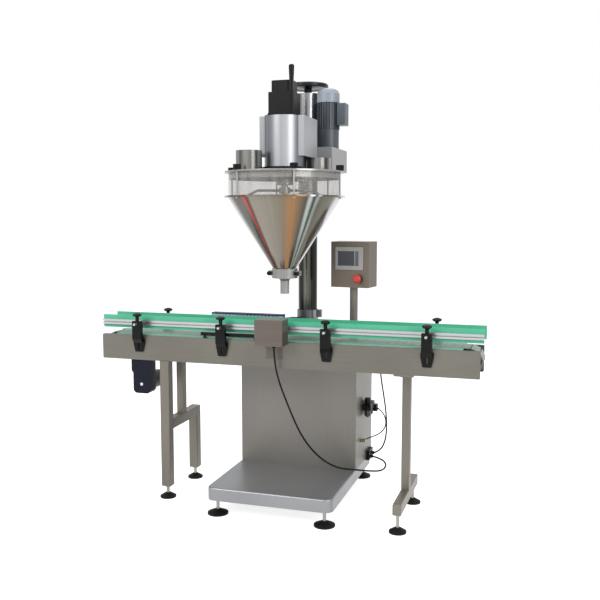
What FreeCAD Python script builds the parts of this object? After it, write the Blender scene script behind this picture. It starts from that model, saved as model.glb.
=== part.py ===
import FreeCAD, Part
import math
import os

# Auger powder filler: a hopper with a metering auger and an agitator on a lifting
# head, over a slat conveyor. Millimetres. +Z is up, +X runs along the conveyor and
# -Y faces the operator. The origin is on the floor, at the middle of the footprint.

V = FreeCAD.Vector
UP = V(0, 0, 1)
ALONG = V(1, 0, 0)
ACROSS = V(0, 1, 0)

# ---------------------------------------------------------------- fits
RUN_FIT = 0.05        # radial clearance of a shaft in its bearing
SEAT_FIT = 0.1        # radial clearance of a fixed piece in its hole
MOVE_GAP = 0.3        # gap between faces that move past each other
BOLT_FIT = 0.3        # radial clearance of a screw in a plain hole

# ---------------------------------------------------------------- base and cabinet
BASE_WIDTH = 620
BASE_FRONT_Y = -414
BASE_DEPTH = 840
BASE_BOTTOM_Z = 76
BASE_HEIGHT = 62
BASE_CORNER_R = 40
BASE_EDGE_R = 8
BASE_WALL = 4
FOOT_BLOCK = 60
FOOT_INSET = 44
CABINET_DEPTH = 369
CABINET_HEIGHT = 712
CABINET_WALL = 2
CABINET_CORNER_R = 6
PANEL_LEDGE = 15
PANEL_WALL = 2.5
PANEL_FIT = 0.5

BASE_TOP_Z = BASE_BOTTOM_Z + BASE_HEIGHT
BASE_BACK_Y = BASE_FRONT_Y + BASE_DEPTH
CABINET_SIDE_X = BASE_WIDTH / 2
CABINET_FRONT_Y = BASE_BACK_Y - CABINET_DEPTH
CABINET_TOP_Z = BASE_TOP_Z + CABINET_HEIGHT

# ---------------------------------------------------------------- levelling feet
BASE_PAD_R = 50
LEG_PAD_R = 40
PAD_RIM = 8
PAD_HEIGHT = 24
PAD_NECK_R = 14
STUD_R = 8
FOOT_NUT_R = 13
FOOT_NUT_HEIGHT = 10

# ---------------------------------------------------------------- conveyor
LANE_Y = -145
SIDE_LENGTH = 1890
SIDE_SPAN = 210
SIDE_HEIGHT = 125
SIDE_BOTTOM_Z = 703
SIDE_WALL = 3
SIDE_FLANGE = 20
SIDE_END_R = 6
CHAIN_PITCH = 38.1
CHAIN_WIDTH = 120
CHAIN_TOP_Z = 836.3
RUN_LINKS = 47
SPROCKET_TEETH = 8
SLAT_HEIGHT = 4.8
SLAT_RISE = 4.7       # underside of a slat above its pins
SLAT_GAP = 1.0
LUG_R = 4.6
LUG_SPAN = 80
LUG_MIDDLE = 39.4
LUG_GAP = 0.6
LUG_ROOT = 6
POCKET_R = 6
SPROCKET_WIDTH = 36
SPROCKET_TIP_GAP = 0.6
SHAFT_R = 10
BEARING_R = 26
BEARING_WIDTH = 18
GUIDE_SIDE_GAP = 1.5
GUIDE_TOP_DROP = 2.3
GUIDE_HEIGHT = 19
GUIDE_SHELF = 16
GUIDE_END_GAP = 30
CROSS_R = 12
CROSS_COUNT = 5
CROSS_STEP = 400
STRAP_WIDTH = 30
RETURN_RAIL_WIDTH = 15
RETURN_RAIL_Y = 48

SIDE_TOP_Z = SIDE_BOTTOM_Z + SIDE_HEIGHT
SIDE_IN_Y = SIDE_SPAN / 2 - SIDE_WALL
PITCH_R = CHAIN_PITCH / 2 / math.sin(math.pi / SPROCKET_TEETH)
APOTHEM = CHAIN_PITCH / 2 / math.tan(math.pi / SPROCKET_TEETH)
SHAFT_X = RUN_LINKS * CHAIN_PITCH / 2
PIN_TOP_Z = CHAIN_TOP_Z - SLAT_RISE - SLAT_HEIGHT
SHAFT_Z = PIN_TOP_Z - PITCH_R
PIN_LOW_Z = SHAFT_Z - PITCH_R
RETURN_LOW_Z = PIN_LOW_Z - SLAT_RISE - SLAT_HEIGHT

# ---------------------------------------------------------------- guide rails
RAIL_LENGTH = 1914
RAIL_BOTTOM_Z = 859
STRIP_HEIGHT = 64
STRIP_WALL = 6
LANE_HALF = 64
CHANNEL_HEIGHT = 26
CHANNEL_DEPTH = 10
CHANNEL_RISE = 16
CHANNEL_WALL = 2
CHANNEL_SLOT = 6
ROD_R = 6
ROD_REACH = 80
BRACKET_WIDTH = 48
BRACKET_TOP_WIDTH = 60
BRACKET_FOOT_WIDTH = 40
BRACKET_FOOT_Z = 746
BRACKET_SHOULDER_Z = 812
BRACKET_TOP_Z = 902
BRACKET_PLATE = 10
BRACKET_ARM = 22
BRACKET_SLOT_WIDTH = 6
BRACKET_SLOT_LENGTH = 34
FRONT_BRACKET_X = (-735, -285, 240, 710)
REAR_BRACKET_X = (-690, 720)
KNOB_STEM_R = 5
KNOB_NECK_R = 9
KNOB_R = 23.5
KNOB_HEIGHT = 49
KNOB_HEAD = 21
KNOB_EDGE = 4

ROD_Z = RAIL_BOTTOM_Z + CHANNEL_RISE + CHANNEL_HEIGHT / 2
CHANNEL_OUT_Y = LANE_HALF + STRIP_WALL + CHANNEL_DEPTH

# ---------------------------------------------------------------- items on the conveyor
STOP_BAR_LENGTH = 305
STOP_BAR_RIGHT_X = -95
STOP_BAR_WIDTH = 12
STOP_BAR_HEIGHT = 16
STOP_BAR_RISE = 14
STOP_BAR_FOOT = 14
SENSOR_WIDTH = 138
SENSOR_DEPTH = 82
SENSOR_HEIGHT = 123
SENSOR_X = -19
SENSOR_BOTTOM_Z = 818
SENSOR_WALL = 2
SENSOR_EDGE_R = 3
SENSOR_PLATE = 3
SENSOR_PLATE_FOOT = 80
SENSOR_PLATE_LOW_Z = 745
DUCT_LEFT_X = -450
DUCT_RIGHT_X = -60
DUCT_FRONT_Y = 0
DUCT_WIDTH = 40
DUCT_BOTTOM_Z = 880
DUCT_HEIGHT = 46
DUCT_WALL = 2
DUCT_SLOT = 6
DUCT_TOOTH = 14
DUCT_SLOT_DEPTH = 28
DUCT_COVER = 6
DUCT_BRACKET_WIDTH = 30
DUCT_BRACKET_WALL = 3
DUCT_BRACKET_LOW_Z = 780
DUCT_BRACKET_INSET = 60
MOTOR_X = -733
MOTOR_WIDTH = 96
MOTOR_BOTTOM_Z = 529
MOTOR_CORNER_R = 22
MOTOR_HEAD_DEPTH = 60
MOTOR_FRONT_Y = -240
MOTOR_CAN_R = 44
MOTOR_CAN_LENGTH = 120
MOTOR_LUMP_LEFT = 57
MOTOR_LUMP_WIDTH = 45
MOTOR_LUMP_HEIGHT = 69
MOTOR_LUMP_DEPTH = 40
MOTOR_LUMP_R = 14
MOTOR_HUB_R = 8
MOTOR_HUB_DEPTH = 3

# ---------------------------------------------------------------- leg frames
LEFT_LEG_X = -600
LEG_TUBE = 50
POST_TUBE = 40
LEG_BOTTOM_Z = 62
LEFT_FRONT_Y = -231
LEFT_POST_Y = -59
LEFT_REAR_Y = 97
BEAM_BOTTOM_Z = 350
BEAM_HEIGHT = 50
RIGHT_LEG_X = 603
RIGHT_BEAM_BOTTOM_Z = 87
RIGHT_BEAM_HEIGHT = 52
RIGHT_BEAM_LENGTH = 460
RIGHT_FOOT_REACH = 202
TUBE_CORNER_R = 5
HEAD_PLATE_LENGTH = 92
HEAD_PLATE_HEIGHT = 8
HEAD_SOCKET = 56
HEAD_SOCKET_HEIGHT = 18

# ---------------------------------------------------------------- column
COLUMN_Y = 241
COLUMN_R = 50
COLUMN_WALL = 8
COLUMN_TOP_Z = 1900
COLUMN_FOOT_R = 85
COLUMN_FOOT_HEIGHT = 12
COLLAR_R = 57
COLLAR_TOP_Z = 932
COLLAR_FLANGE_R = 76
COLLAR_FLANGE_HEIGHT = 10
COLLAR_SLIT = 4
COLLAR_EAR = 20
COLLAR_EAR_WIDTH = 12
COLLAR_EAR_HEIGHT = 40
LIFT_NUT_HEIGHT = 30

# ---------------------------------------------------------------- lifting head
SLEEVE_R = 61
SLEEVE_BOTTOM_Z = 1650
SLEEVE_TOP_Z = 2050
SLEEVE_CAP = 10
ARM_LEFT_X = -95
ARM_RIGHT_X = 186
ARM_FRONT_Y = 36
ARM_BACK_Y = 335
ARM_BOTTOM_Z = 1650
ARM_HEIGHT = 112
ARM_EDGE_R = 4
ARM_WALL = 3
RISER_WIDTH = 100
RISER_TOP_Z = 1880
HOUSING_WIDTH = 222
HOUSING_FRONT_Y = -191
HOUSING_BOTTOM_Z = 1705
HOUSING_TOP_Z = 1892
HOUSING_WALL = 3
HOUSING_EDGE_R = 6
BARREL_R = 95
BARREL_WALL = 5
DRIVE_PLATE_R = 108
DRIVE_PLATE_HEIGHT = 21
SERVO_WIDTH = 130
SERVO_GAP = 3
SERVO_HEIGHT = 106
SERVO_EDGE_R = 10
SERVO_FLANGE = 12
SERVO_WAIST = 3
ENCODER_WIDTH = 105
ENCODER_HEIGHT = 54
ENCODER_EDGE_R = 22
STIR_MOTOR_X = 120
STIR_MOTOR_Y = 200
STIR_MOTOR_R = 52
STIR_RIB_R = 58
STIR_RIB = 3
STIR_RIB_COUNT = 28
STIR_GEARBOX_R = 55
STIR_GEARBOX_HEIGHT = 98
STIR_RIB_HEIGHT = 135
STIR_COWL_HEIGHT = 71
STIR_DOME = 26
STIR_BOX_DEPTH = 44
STIR_BOX_WIDTH = 74
STIR_BOX_HEIGHT = 108
STIR_BOX_Z = 1881
STIR_BOX_GAP = 4

ARM_TOP_Z = ARM_BOTTOM_Z + ARM_HEIGHT

# ---------------------------------------------------------------- hopper
LID_TOP_Z = 1634
LID_R = 285
LID_HEIGHT = 8
LID_SKIRT_HEIGHT = 28
LID_SKIRT_WALL = 4
LID_HUB_R = 40
LID_HUB_HEIGHT = 55
WINDOW_R = 270
WINDOW_WALL = 5
FLANGE_R = 288
FLANGE_TOP_Z = 1519
FLANGE_HEIGHT = 8
CONE_WALL = 2
CONE_FOOT_R = 60
CONE_FOOT_Z = 1178
SPIGOT_R = 45
SPIGOT_WALL = 4
SPIGOT_BOTTOM_Z = 1140
PORT_R = 61.5
PORT_WALL = 3.5
PORT_BEAD = 2
LEFT_PORT = (-138, -113, 94)
RIGHT_PORT = (135, 113, 68)
TIE_COUNT = 6
TIE_FIRST_DEG = -63
TIE_CIRCLE_R = 277
TIE_R = 4
TIE_NUT_R = 7
TIE_NUT_HEIGHT = 7
LID_KNOB_R = 18.5
LID_KNOB_HEIGHT = 25
LID_KNOB_LOBES = 6
LID_KNOB_SCALLOP = 5
CLAMP_R = 63
CLAMP_BOTTOM_Z = 1126
CLAMP_TOP_Z = 1172
CLAMP_LIP = 4
CLAMP_SLIT = 5
CLAMP_EAR = 16
CLAMP_EAR_WIDTH = 34
CLAMP_EAR_HEIGHT = 24
CLAMP_KNOB_R = 10
CLAMP_KNOB_LENGTH = 16
NOZZLE_R = 22
NOZZLE_BORE_R = 19.8
NOZZLE_BOTTOM_Z = 1050
NOZZLE_NECK_Z = 1112
NOZZLE_FLANGE_R = 44
NOZZLE_TOP_R = 34

LID_BOTTOM_Z = LID_TOP_Z - LID_HEIGHT
CONE_TOP_Z = FLANGE_TOP_Z - FLANGE_HEIGHT

# ---------------------------------------------------------------- auger and agitator
AUGER_SHAFT_R = 12
AUGER_CORE_R = 7
AUGER_FLIGHT_R = 19
AUGER_BOTTOM_Z = 1054
AUGER_FLIGHT_TOP_Z = 1234
AUGER_CORE_TOP_Z = 1240
AUGER_TOP_Z = 1880
AUGER_PITCH = 30
AUGER_FLIGHT = 2
STIR_TUBE_R = 17
STIR_TUBE_BOTTOM_Z = 1530
STIR_TUBE_TOP_Z = 1700
STIR_HUB_R = 27
STIR_HUB_HEIGHT = 30
STIR_ARM_R = 6
STIR_ARM_DEG = 200
STIR_WALL_GAP = 24
STIR_ARM_ELBOW_Z = 1490
STIR_ARM_LOW_Z = 1250
STIR_ARM_SHOULDER_R = 130

# ---------------------------------------------------------------- handwheel
WHEEL_R = 105
WHEEL_RIM_Z = 2078
WHEEL_RIM_HEIGHT = 22
WHEEL_WEB = 5
WHEEL_HUB_R = 20
WHEEL_HUB_Z = 2054
SCREW_R = 10
SCREW_BOTTOM_Z = 1500
GRIP_X = -71
GRIP_Y = -59
GRIP_LOW_R = 11
GRIP_TOP_R = 14.5
GRIP_HEIGHT = 92
GRIP_PIN_R = 5
GRIP_RISE = 4

# ---------------------------------------------------------------- control box
BOX_POST_X = 289
BOX_POST_Y = 82
BOX_POST_R = 20
BOX_POST_WALL = 3
BOX_POST_FOOT = 42
BOX_POST_FOOT_HEIGHT = 6
BOX_BOTTOM_Z = 1072
BOX_WIDTH = 200
BOX_HEIGHT = 226
BOX_DEPTH = 115
BOX_WALL = 2
BOX_EDGE_R = 3
BOX_TURN_DEG = -8
SPIGOT_PIN_R = 12
SPIGOT_PIN_LENGTH = 14
SPIGOT_CUP_R = 20
BEZEL_WIDTH = 146
BEZEL_HEIGHT = 112
BEZEL_DEPTH = 6
BEZEL_LEFT = 26
BEZEL_TOP = 26
SCREEN_WIDTH = 110
SCREEN_HEIGHT = 72
SCREEN_SINK = 2
SCREEN_LEFT = 12
SCREEN_TOP = 20
ESTOP_R = 21
ESTOP_HEIGHT = 16
ESTOP_STEM_R = 11
ESTOP_TRAVEL_GAP = 8
ESTOP_RIGHT = 55
ESTOP_RISE = 45
ESTOP_RING_R = 19
ESTOP_RING_HEIGHT = 5

# ---------------------------------------------------------------- air supply and hoses
AIR_PLATE = 4
AIR_Y = 196
AIR_BODY = 44
AIR_BODY_GAP = 10
AIR_BODY_BOTTOM_Z = 415
AIR_BODY_HEIGHT = 36
AIR_DEPTH = 42
AIR_BOWL_R = 17
AIR_BOWL_HEIGHT = 38
AIR_KNOB_R = 15
AIR_KNOB_HEIGHT = 27
AIR_PORT_R = 11
AIR_PORT_BORE_R = 5.8
AIR_PORT_LENGTH = 20
AIR_BORE_DEPTH = 14
OUTLET_WIDTH = 32
OUTLET_DEPTH = 40
OUTLET_HEIGHT = 36
GLAND_LENGTH = 12
GLAND_R = 9
MANIFOLD_DEPTH = 18
MANIFOLD_FRONT_Y = 300
MANIFOLD_LENGTH = 84
MANIFOLD_BOTTOM_Z = 118
MANIFOLD_HEIGHT = 52
ELBOW_X = -60
ELBOW_Y = 148
ELBOW_SIZE = 30
ELBOW_HEIGHT = 46

SIGNAL_HOSE_R = 4.5
POWER_HOSE_R = 4
AIR_HOSE_R = 3
CONDUIT_R = 8
BEND_SHARE = 0.45     # part of the shorter run that an arc takes at each corner

# Each hose runs from its first point, where it leaves one fitting, to its last.
SIGNAL_ROUTE = [
    (-5, -295, 806), (-4, -289, 735), (8, -262, 640), (28, -220, 545), (52, -181, 450),
    (80, -146, 360), (120, -108, 280), (172, -72, 215), (238, -32, 168), (312, 22, 150),
    (372, 92, 128), (412, 166, 108), (428, 236, 104), (420, 296, 112), (386, 330, 124),
    (340, 334, 132),
]
POWER_ROUTE = [
    (322, 300, 770), (352, 303, 756), (370, 311, 712), (376, 322, 640), (382, 330, 560),
    (396, 337, 470), (407, 346, 380), (411, 354, 290), (402, 360, 215), (376, 366, 160),
    (340, 368, 142),
]
AIR_ROUTE = [
    (368, 322, 403), (390, 322, 385), (408, 319, 358), (415, 312, 326), (408, 300, 296),
    (386, 284, 275), (357, 262, 263), (334, 232, 259), (325, 198, 260),
]
CONDUIT_ROUTE = [
    (-60, 20, 903), (-24, 24, 906), (6, 46, 906), (16, 82, 901), (8, 119, 892),
    (-16, 146, 882), (-45, 163, 876),
]


# ================================================================ helpers
def box(x0, x1, y0, y1, z0, z1):
    """A block between two corners."""
    return Part.makeBox(x1 - x0, y1 - y0, z1 - z0, V(x0, y0, z0))


def rod(radius, length, start, axis=UP):
    """A round bar from a start point along an axis."""
    return Part.makeCylinder(radius, length, V(*start), axis)


def pipe(outer, inner, length, start, axis=UP):
    """A round tube from a start point along an axis."""
    return rod(outer, length, start, axis).cut(rod(inner, length, start, axis))


def turned(profile, x, y):
    """A solid turned about the vertical through (x, y) from (radius, height) points."""
    points = [V(r, 0, z) for r, z in profile]
    face = Part.Face(Part.makePolygon(points + points[:1]))
    solid = face.revolve(V(0, 0, 0), UP, 360)
    solid.translate(V(x, y, 0))
    return solid


def prism(points, extrude):
    """A straight-sided solid from a flat outline of vectors."""
    return Part.Face(Part.makePolygon(points + points[:1])).extrude(extrude)


def hexagon(radius, height, x, y, z):
    """A hexagon nut blank standing on its flat."""
    corners = [
        V(x + radius * math.cos(math.radians(60 * i)), y + radius * math.sin(math.radians(60 * i)), z)
        for i in range(6)
    ]
    return prism(corners, V(0, 0, height))


def edges_along(shape, axis):
    """The straight edges of a shape that run along an axis."""
    found = []
    for edge in shape.Edges:
        if edge.Curve.TypeId != "Part::GeomLine":
            continue
        run = edge.Vertexes[1].Point.sub(edge.Vertexes[0].Point).normalize()
        if abs(run.dot(axis)) > 0.999:
            found.append(edge)
    return found


def rounded_box(x0, x1, y0, y1, z0, z1, radius, axis=UP):
    """A block whose edges along one axis are rounded."""
    block = box(x0, x1, y0, y1, z0, z1)
    return block.makeFillet(radius, edges_along(block, axis))


def around(shape, count, x, y, first=0):
    """Copies of a shape in a ring about the vertical through (x, y)."""
    copies = []
    for i in range(count):
        copy = shape.copy()
        copy.rotate(V(x, y, 0), UP, first + 360 * i / count)
        copies.append(copy)
    return copies


def mirror_lane(shape):
    """The mirror image on the other side of the conveyor's middle plane."""
    return shape.mirror(V(0, LANE_Y, 0), ACROSS)


def joined(first, *others):
    """One solid from pieces that overlap or share a face."""
    return first.multiFuse(list(others)).removeSplitter()


def hose(route, radius, name):
    """A round hose: straight runs joined by arcs as large as the runs allow."""
    points = [V(*p) for p in route]
    edges = []
    last = points[0]
    tightest = None
    for i in range(1, len(points) - 1):
        before = points[i].sub(points[i - 1])
        after = points[i + 1].sub(points[i])
        shorter = min(before.Length, after.Length)
        turn = before.getAngle(after)
        reach = BEND_SHARE * shorter
        bend = reach / math.tan(turn / 2)
        tightest = bend if tightest is None else min(tightest, bend)
        before.normalize()
        after.normalize()
        start = points[i].sub(before * reach)
        end = points[i].add(after * reach)
        inward = after.sub(before).normalize()
        centre_way = bend / math.cos(turn / 2) - bend
        middle = points[i].add(inward * centre_way)
        edges.append(Part.LineSegment(last, start).toShape())
        edges.append(Part.Arc(start, middle, end).toShape())
        last = end
    edges.append(Part.LineSegment(last, points[-1]).toShape())
    path = Part.Wire(edges)
    circle = Part.Wire(Part.makeCircle(radius, points[0], points[1].sub(points[0])))
    solid = path.makePipeShell([circle], True, False)
    ratio = solid.Volume / (math.pi * radius ** 2 * path.Length)
    print(f"{name}: length {path.Length:.0f}, smallest bend {tightest:.0f}, volume ratio {ratio:.4f}")
    return solid


def save(name, *pieces):
    """Writes one sub-part, made of one or more separate solids."""
    shape = pieces[0] if len(pieces) == 1 else Part.makeCompound(list(pieces))
    shape.exportStep(f"parts/{name}.step")


# ================================================================ base and cabinet
def foot_places():
    """Where the base's feet stand."""
    x = BASE_WIDTH / 2 - FOOT_INSET
    return [
        (sx, y)
        for sx in (-x, x)
        for y in (BASE_FRONT_Y + FOOT_INSET, BASE_BACK_Y - FOOT_INSET)
    ]


def leg_places():
    """Where the conveyor's feet stand."""
    return [
        (LEFT_LEG_X, LEFT_FRONT_Y, LEG_BOTTOM_Z),
        (LEFT_LEG_X, LEFT_REAR_Y, LEG_BOTTOM_Z),
        (RIGHT_LEG_X, LANE_Y - RIGHT_FOOT_REACH, RIGHT_BEAM_BOTTOM_Z),
        (RIGHT_LEG_X, LANE_Y + RIGHT_FOOT_REACH, RIGHT_BEAM_BOTTOM_Z),
    ]


def base_platform():
    half = BASE_WIDTH / 2
    outer = rounded_box(
        -half, half, BASE_FRONT_Y, BASE_BACK_Y, BASE_BOTTOM_Z, BASE_TOP_Z, BASE_CORNER_R)
    rim = [e for e in outer.Edges if e.BoundBox.ZMin > BASE_TOP_Z - BASE_WALL / 2]
    outer = outer.makeFillet(BASE_EDGE_R, rim)
    pan = rounded_box(
        -half + BASE_WALL, half - BASE_WALL, BASE_FRONT_Y + BASE_WALL, BASE_BACK_Y - BASE_WALL,
        BASE_BOTTOM_Z, BASE_TOP_Z - BASE_WALL, BASE_CORNER_R - BASE_WALL)
    shell = outer.cut(pan)
    blocks = [
        box(x - FOOT_BLOCK / 2, x + FOOT_BLOCK / 2, y - FOOT_BLOCK / 2, y + FOOT_BLOCK / 2,
            BASE_BOTTOM_Z, BASE_TOP_Z - BASE_WALL)
        for x, y in foot_places()
    ]
    save("base_platform", joined(shell, *blocks))


def cabinet():
    side = CABINET_SIDE_X
    outer = box(-side, side, CABINET_FRONT_Y, BASE_BACK_Y, BASE_TOP_Z, CABINET_TOP_Z)
    front = [e for e in edges_along(outer, UP) if e.CenterOfMass.y < CABINET_FRONT_Y + CABINET_WALL]
    outer = outer.makeFillet(CABINET_CORNER_R, front)
    ledge_y = BASE_BACK_Y - 2 * PANEL_WALL
    wall = CABINET_WALL
    room = box(-side + wall, side - wall, CABINET_FRONT_Y + wall, ledge_y,
               BASE_TOP_Z + wall, CABINET_TOP_Z - wall)
    mouth = box(-side + PANEL_LEDGE, side - PANEL_LEDGE, ledge_y, BASE_BACK_Y,
                BASE_TOP_Z + PANEL_LEDGE, CABINET_TOP_Z - PANEL_LEDGE)
    seat_y = BASE_BACK_Y - PANEL_WALL
    seat = box(-side + wall, side - wall, seat_y, BASE_BACK_Y, BASE_TOP_Z + wall, CABINET_TOP_Z - wall)
    column_hole = rod(COLUMN_R + SEAT_FIT, 2 * PANEL_LEDGE, (0, COLUMN_Y, CABINET_TOP_Z - PANEL_LEDGE))
    save("cabinet_shell", outer.cut(room).cut(mouth).cut(seat).cut(column_hole))
    inset = wall + PANEL_FIT
    save("cabinet_rear_panel", box(
        -side + inset, side - inset, seat_y, BASE_BACK_Y, BASE_TOP_Z + inset, CABINET_TOP_Z - inset))


def levelling_feet():
    pads = []
    studs = []
    places = [(x, y, BASE_BOTTOM_Z, BASE_PAD_R) for x, y in foot_places()]
    places += [(x, y, top, LEG_PAD_R) for x, y, top in leg_places()]
    for x, y, top, radius in places:
        pads.append(turned([(0, 0), (radius, 0), (radius, PAD_RIM), (PAD_NECK_R, PAD_HEIGHT),
                            (0, PAD_HEIGHT)], x, y))
        stud = rod(STUD_R, top - PAD_HEIGHT, (x, y, PAD_HEIGHT))
        nut = hexagon(FOOT_NUT_R, FOOT_NUT_HEIGHT, x, y, top - FOOT_NUT_HEIGHT)
        studs.append(joined(stud, nut))
    save("levelling_pads", *pads)
    save("levelling_studs", *studs)


# ================================================================ conveyor
def conveyor_sides():
    half = SIDE_LENGTH / 2
    out_y = LANE_Y - SIDE_SPAN / 2
    outer = box(-half, half, out_y, out_y + SIDE_FLANGE, SIDE_BOTTOM_Z, SIDE_TOP_Z)
    ends = [e for e in edges_along(outer, ACROSS)]
    outer = outer.makeFillet(SIDE_END_R, ends)
    room = box(-half, half, out_y + SIDE_WALL, out_y + SIDE_FLANGE,
               SIDE_BOTTOM_Z + SIDE_WALL, SIDE_TOP_Z - SIDE_WALL)
    front = outer.cut(room)
    save("conveyor_side_plates", front, mirror_lane(front))


def conveyor_cross_members():
    pieces = []
    for i in range(CROSS_COUNT):
        x = (i - (CROSS_COUNT - 1) / 2) * CROSS_STEP
        pieces.append(rod(CROSS_R, 2 * SIDE_IN_Y, (x, LANE_Y - SIDE_IN_Y, SHAFT_Z), ACROSS))
        inner = SIDE_SPAN / 2 - SIDE_FLANGE
        pieces.append(box(x - STRAP_WIDTH / 2, x + STRAP_WIDTH / 2, LANE_Y - inner, LANE_Y + inner,
                          SIDE_BOTTOM_Z, SIDE_BOTTOM_Z + SIDE_WALL))
    save("conveyor_cross_members", *pieces)


def wear_strips():
    half = SHAFT_X - GUIDE_END_GAP
    edge_y = CHAIN_WIDTH / 2 + GUIDE_SIDE_GAP
    out_y = SIDE_SPAN / 2 - SIDE_FLANGE
    top = CHAIN_TOP_Z - GUIDE_TOP_DROP
    shelf = CHAIN_TOP_Z - SLAT_HEIGHT - MOVE_GAP
    low = top - GUIDE_HEIGHT
    outline = [
        V(-half, LANE_Y - out_y, low), V(-half, LANE_Y - edge_y + GUIDE_SHELF, low),
        V(-half, LANE_Y - edge_y + GUIDE_SHELF, shelf), V(-half, LANE_Y - edge_y, shelf),
        V(-half, LANE_Y - edge_y, top), V(-half, LANE_Y - out_y - SIDE_FLANGE / 2, top),
        V(-half, LANE_Y - out_y - SIDE_FLANGE / 2, SIDE_TOP_Z), V(-half, LANE_Y - out_y, SIDE_TOP_Z),
    ]
    upper = prism(outline, V(2 * half, 0, 0))
    lower = box(-half, half, LANE_Y - RETURN_RAIL_Y - RETURN_RAIL_WIDTH / 2,
                LANE_Y - RETURN_RAIL_Y + RETURN_RAIL_WIDTH / 2,
                SIDE_BOTTOM_Z + SIDE_WALL, RETURN_LOW_Z - MOVE_GAP)
    save("wear_strips", upper, mirror_lane(upper), lower, mirror_lane(lower))


def chain_link():
    """One slat with its three hinge lugs, from the pin at X = 0 to the next at one pitch."""
    half = CHAIN_WIDTH / 2
    slat = box(SLAT_GAP / 2, CHAIN_PITCH - SLAT_GAP / 2, -half, half, SLAT_RISE, SLAT_RISE + SLAT_HEIGHT)

    def lug(y0, y1):
        corners = [
            V(LUG_R * math.cos(math.radians(a)), y0, LUG_R * math.sin(math.radians(a)))
            for a in (135, 225, 315)
        ]
        foot = [V(LUG_ROOT, y0, SLAT_RISE), V(SLAT_GAP / 2, y0, SLAT_RISE)]
        return prism(corners + foot, V(0, y1 - y0, 0))

    lead = lug(-LUG_MIDDLE / 2, LUG_MIDDLE / 2)
    side = LUG_MIDDLE / 2 + LUG_GAP
    trail = [lug(side, LUG_SPAN / 2), lug(-LUG_SPAN / 2, -side)]
    for piece in trail:
        piece.rotate(V(CHAIN_PITCH / 2, 0, 0), UP, 180)
    return joined(slat, lead, *trail)


def slat_chain():
    """The endless chain: two straight runs and a wrap of half the teeth at each end."""
    link = chain_link()
    step = 360 / SPROCKET_TEETH
    links = []

    def lay(x, z, tilt):
        copy = link.copy()
        copy.rotate(V(0, 0, 0), ACROSS, tilt)
        copy.translate(V(x, LANE_Y, z))
        links.append(copy)

    for i in range(RUN_LINKS):
        offset = i * CHAIN_PITCH
        lay(-SHAFT_X + offset, PIN_TOP_Z, 0)
        lay(SHAFT_X - offset, PIN_LOW_Z, 180)
    for i in range(SPROCKET_TEETH // 2):
        angle = math.radians(90 - step * i)
        dx = PITCH_R * math.cos(angle)
        dz = PITCH_R * math.sin(angle)
        lay(SHAFT_X + dx, SHAFT_Z + dz, step * (i + 0.5))
        lay(-SHAFT_X - dx, SHAFT_Z - dz, 180 + step * (i + 0.5))
    save("slat_chain", *links)


def sprocket_shaft(x):
    """A shaft with the sprocket that carries the chain in its pockets."""
    tip = APOTHEM + SLAT_RISE - SPROCKET_TIP_GAP
    disc = rod(tip, SPROCKET_WIDTH, (x, LANE_Y - SPROCKET_WIDTH / 2, SHAFT_Z), ACROSS)
    for i in range(SPROCKET_TEETH):
        angle = 2 * math.pi * i / SPROCKET_TEETH
        place = (x + PITCH_R * math.cos(angle), LANE_Y - SPROCKET_WIDTH / 2,
                 SHAFT_Z + PITCH_R * math.sin(angle))
        disc = disc.cut(rod(POCKET_R, SPROCKET_WIDTH, place, ACROSS))
    reach = SIDE_IN_Y - MOVE_GAP
    return joined(disc, rod(SHAFT_R, 2 * reach, (x, LANE_Y - reach, SHAFT_Z), ACROSS))


def shafts():
    save("drive_shaft", sprocket_shaft(-SHAFT_X))
    save("idler_shaft", sprocket_shaft(SHAFT_X))
    bearings = []
    for x in (-SHAFT_X, SHAFT_X):
        start = (x, LANE_Y - SIDE_IN_Y, SHAFT_Z)
        bearing = pipe(BEARING_R, SHAFT_R + RUN_FIT, BEARING_WIDTH, start, ACROSS)
        bearings += [bearing, mirror_lane(bearing)]
    save("shaft_bearings", *bearings)


def guide_rail(bracket_xs):
    """The front rail: a slotted channel with its rods, and the strip on its face."""
    half = RAIL_LENGTH / 2
    back_y = LANE_Y - CHANNEL_OUT_Y
    face_y = back_y + CHANNEL_DEPTH
    low = RAIL_BOTTOM_Z + CHANNEL_RISE
    wall = CHANNEL_WALL
    channel = box(-half, half, back_y, face_y, low, low + CHANNEL_HEIGHT)
    room = box(-half, half, back_y + wall, face_y - wall, low + wall, low + CHANNEL_HEIGHT - wall)
    slot = box(-half, half, back_y, back_y + wall,
               ROD_Z - CHANNEL_SLOT / 2, ROD_Z + CHANNEL_SLOT / 2)
    rods = [rod(ROD_R, ROD_REACH, (x, back_y - ROD_REACH, ROD_Z), ACROSS) for x in bracket_xs]
    ends = [rod(ROD_R, CHANNEL_DEPTH - wall, (x, back_y, ROD_Z), ACROSS) for x in bracket_xs]
    rail = joined(channel.cut(room).cut(slot), *rods, *ends)
    strip = box(-half, half, face_y, face_y + STRIP_WALL, RAIL_BOTTOM_Z, RAIL_BOTTOM_Z + STRIP_HEIGHT)
    return rail, strip


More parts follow.
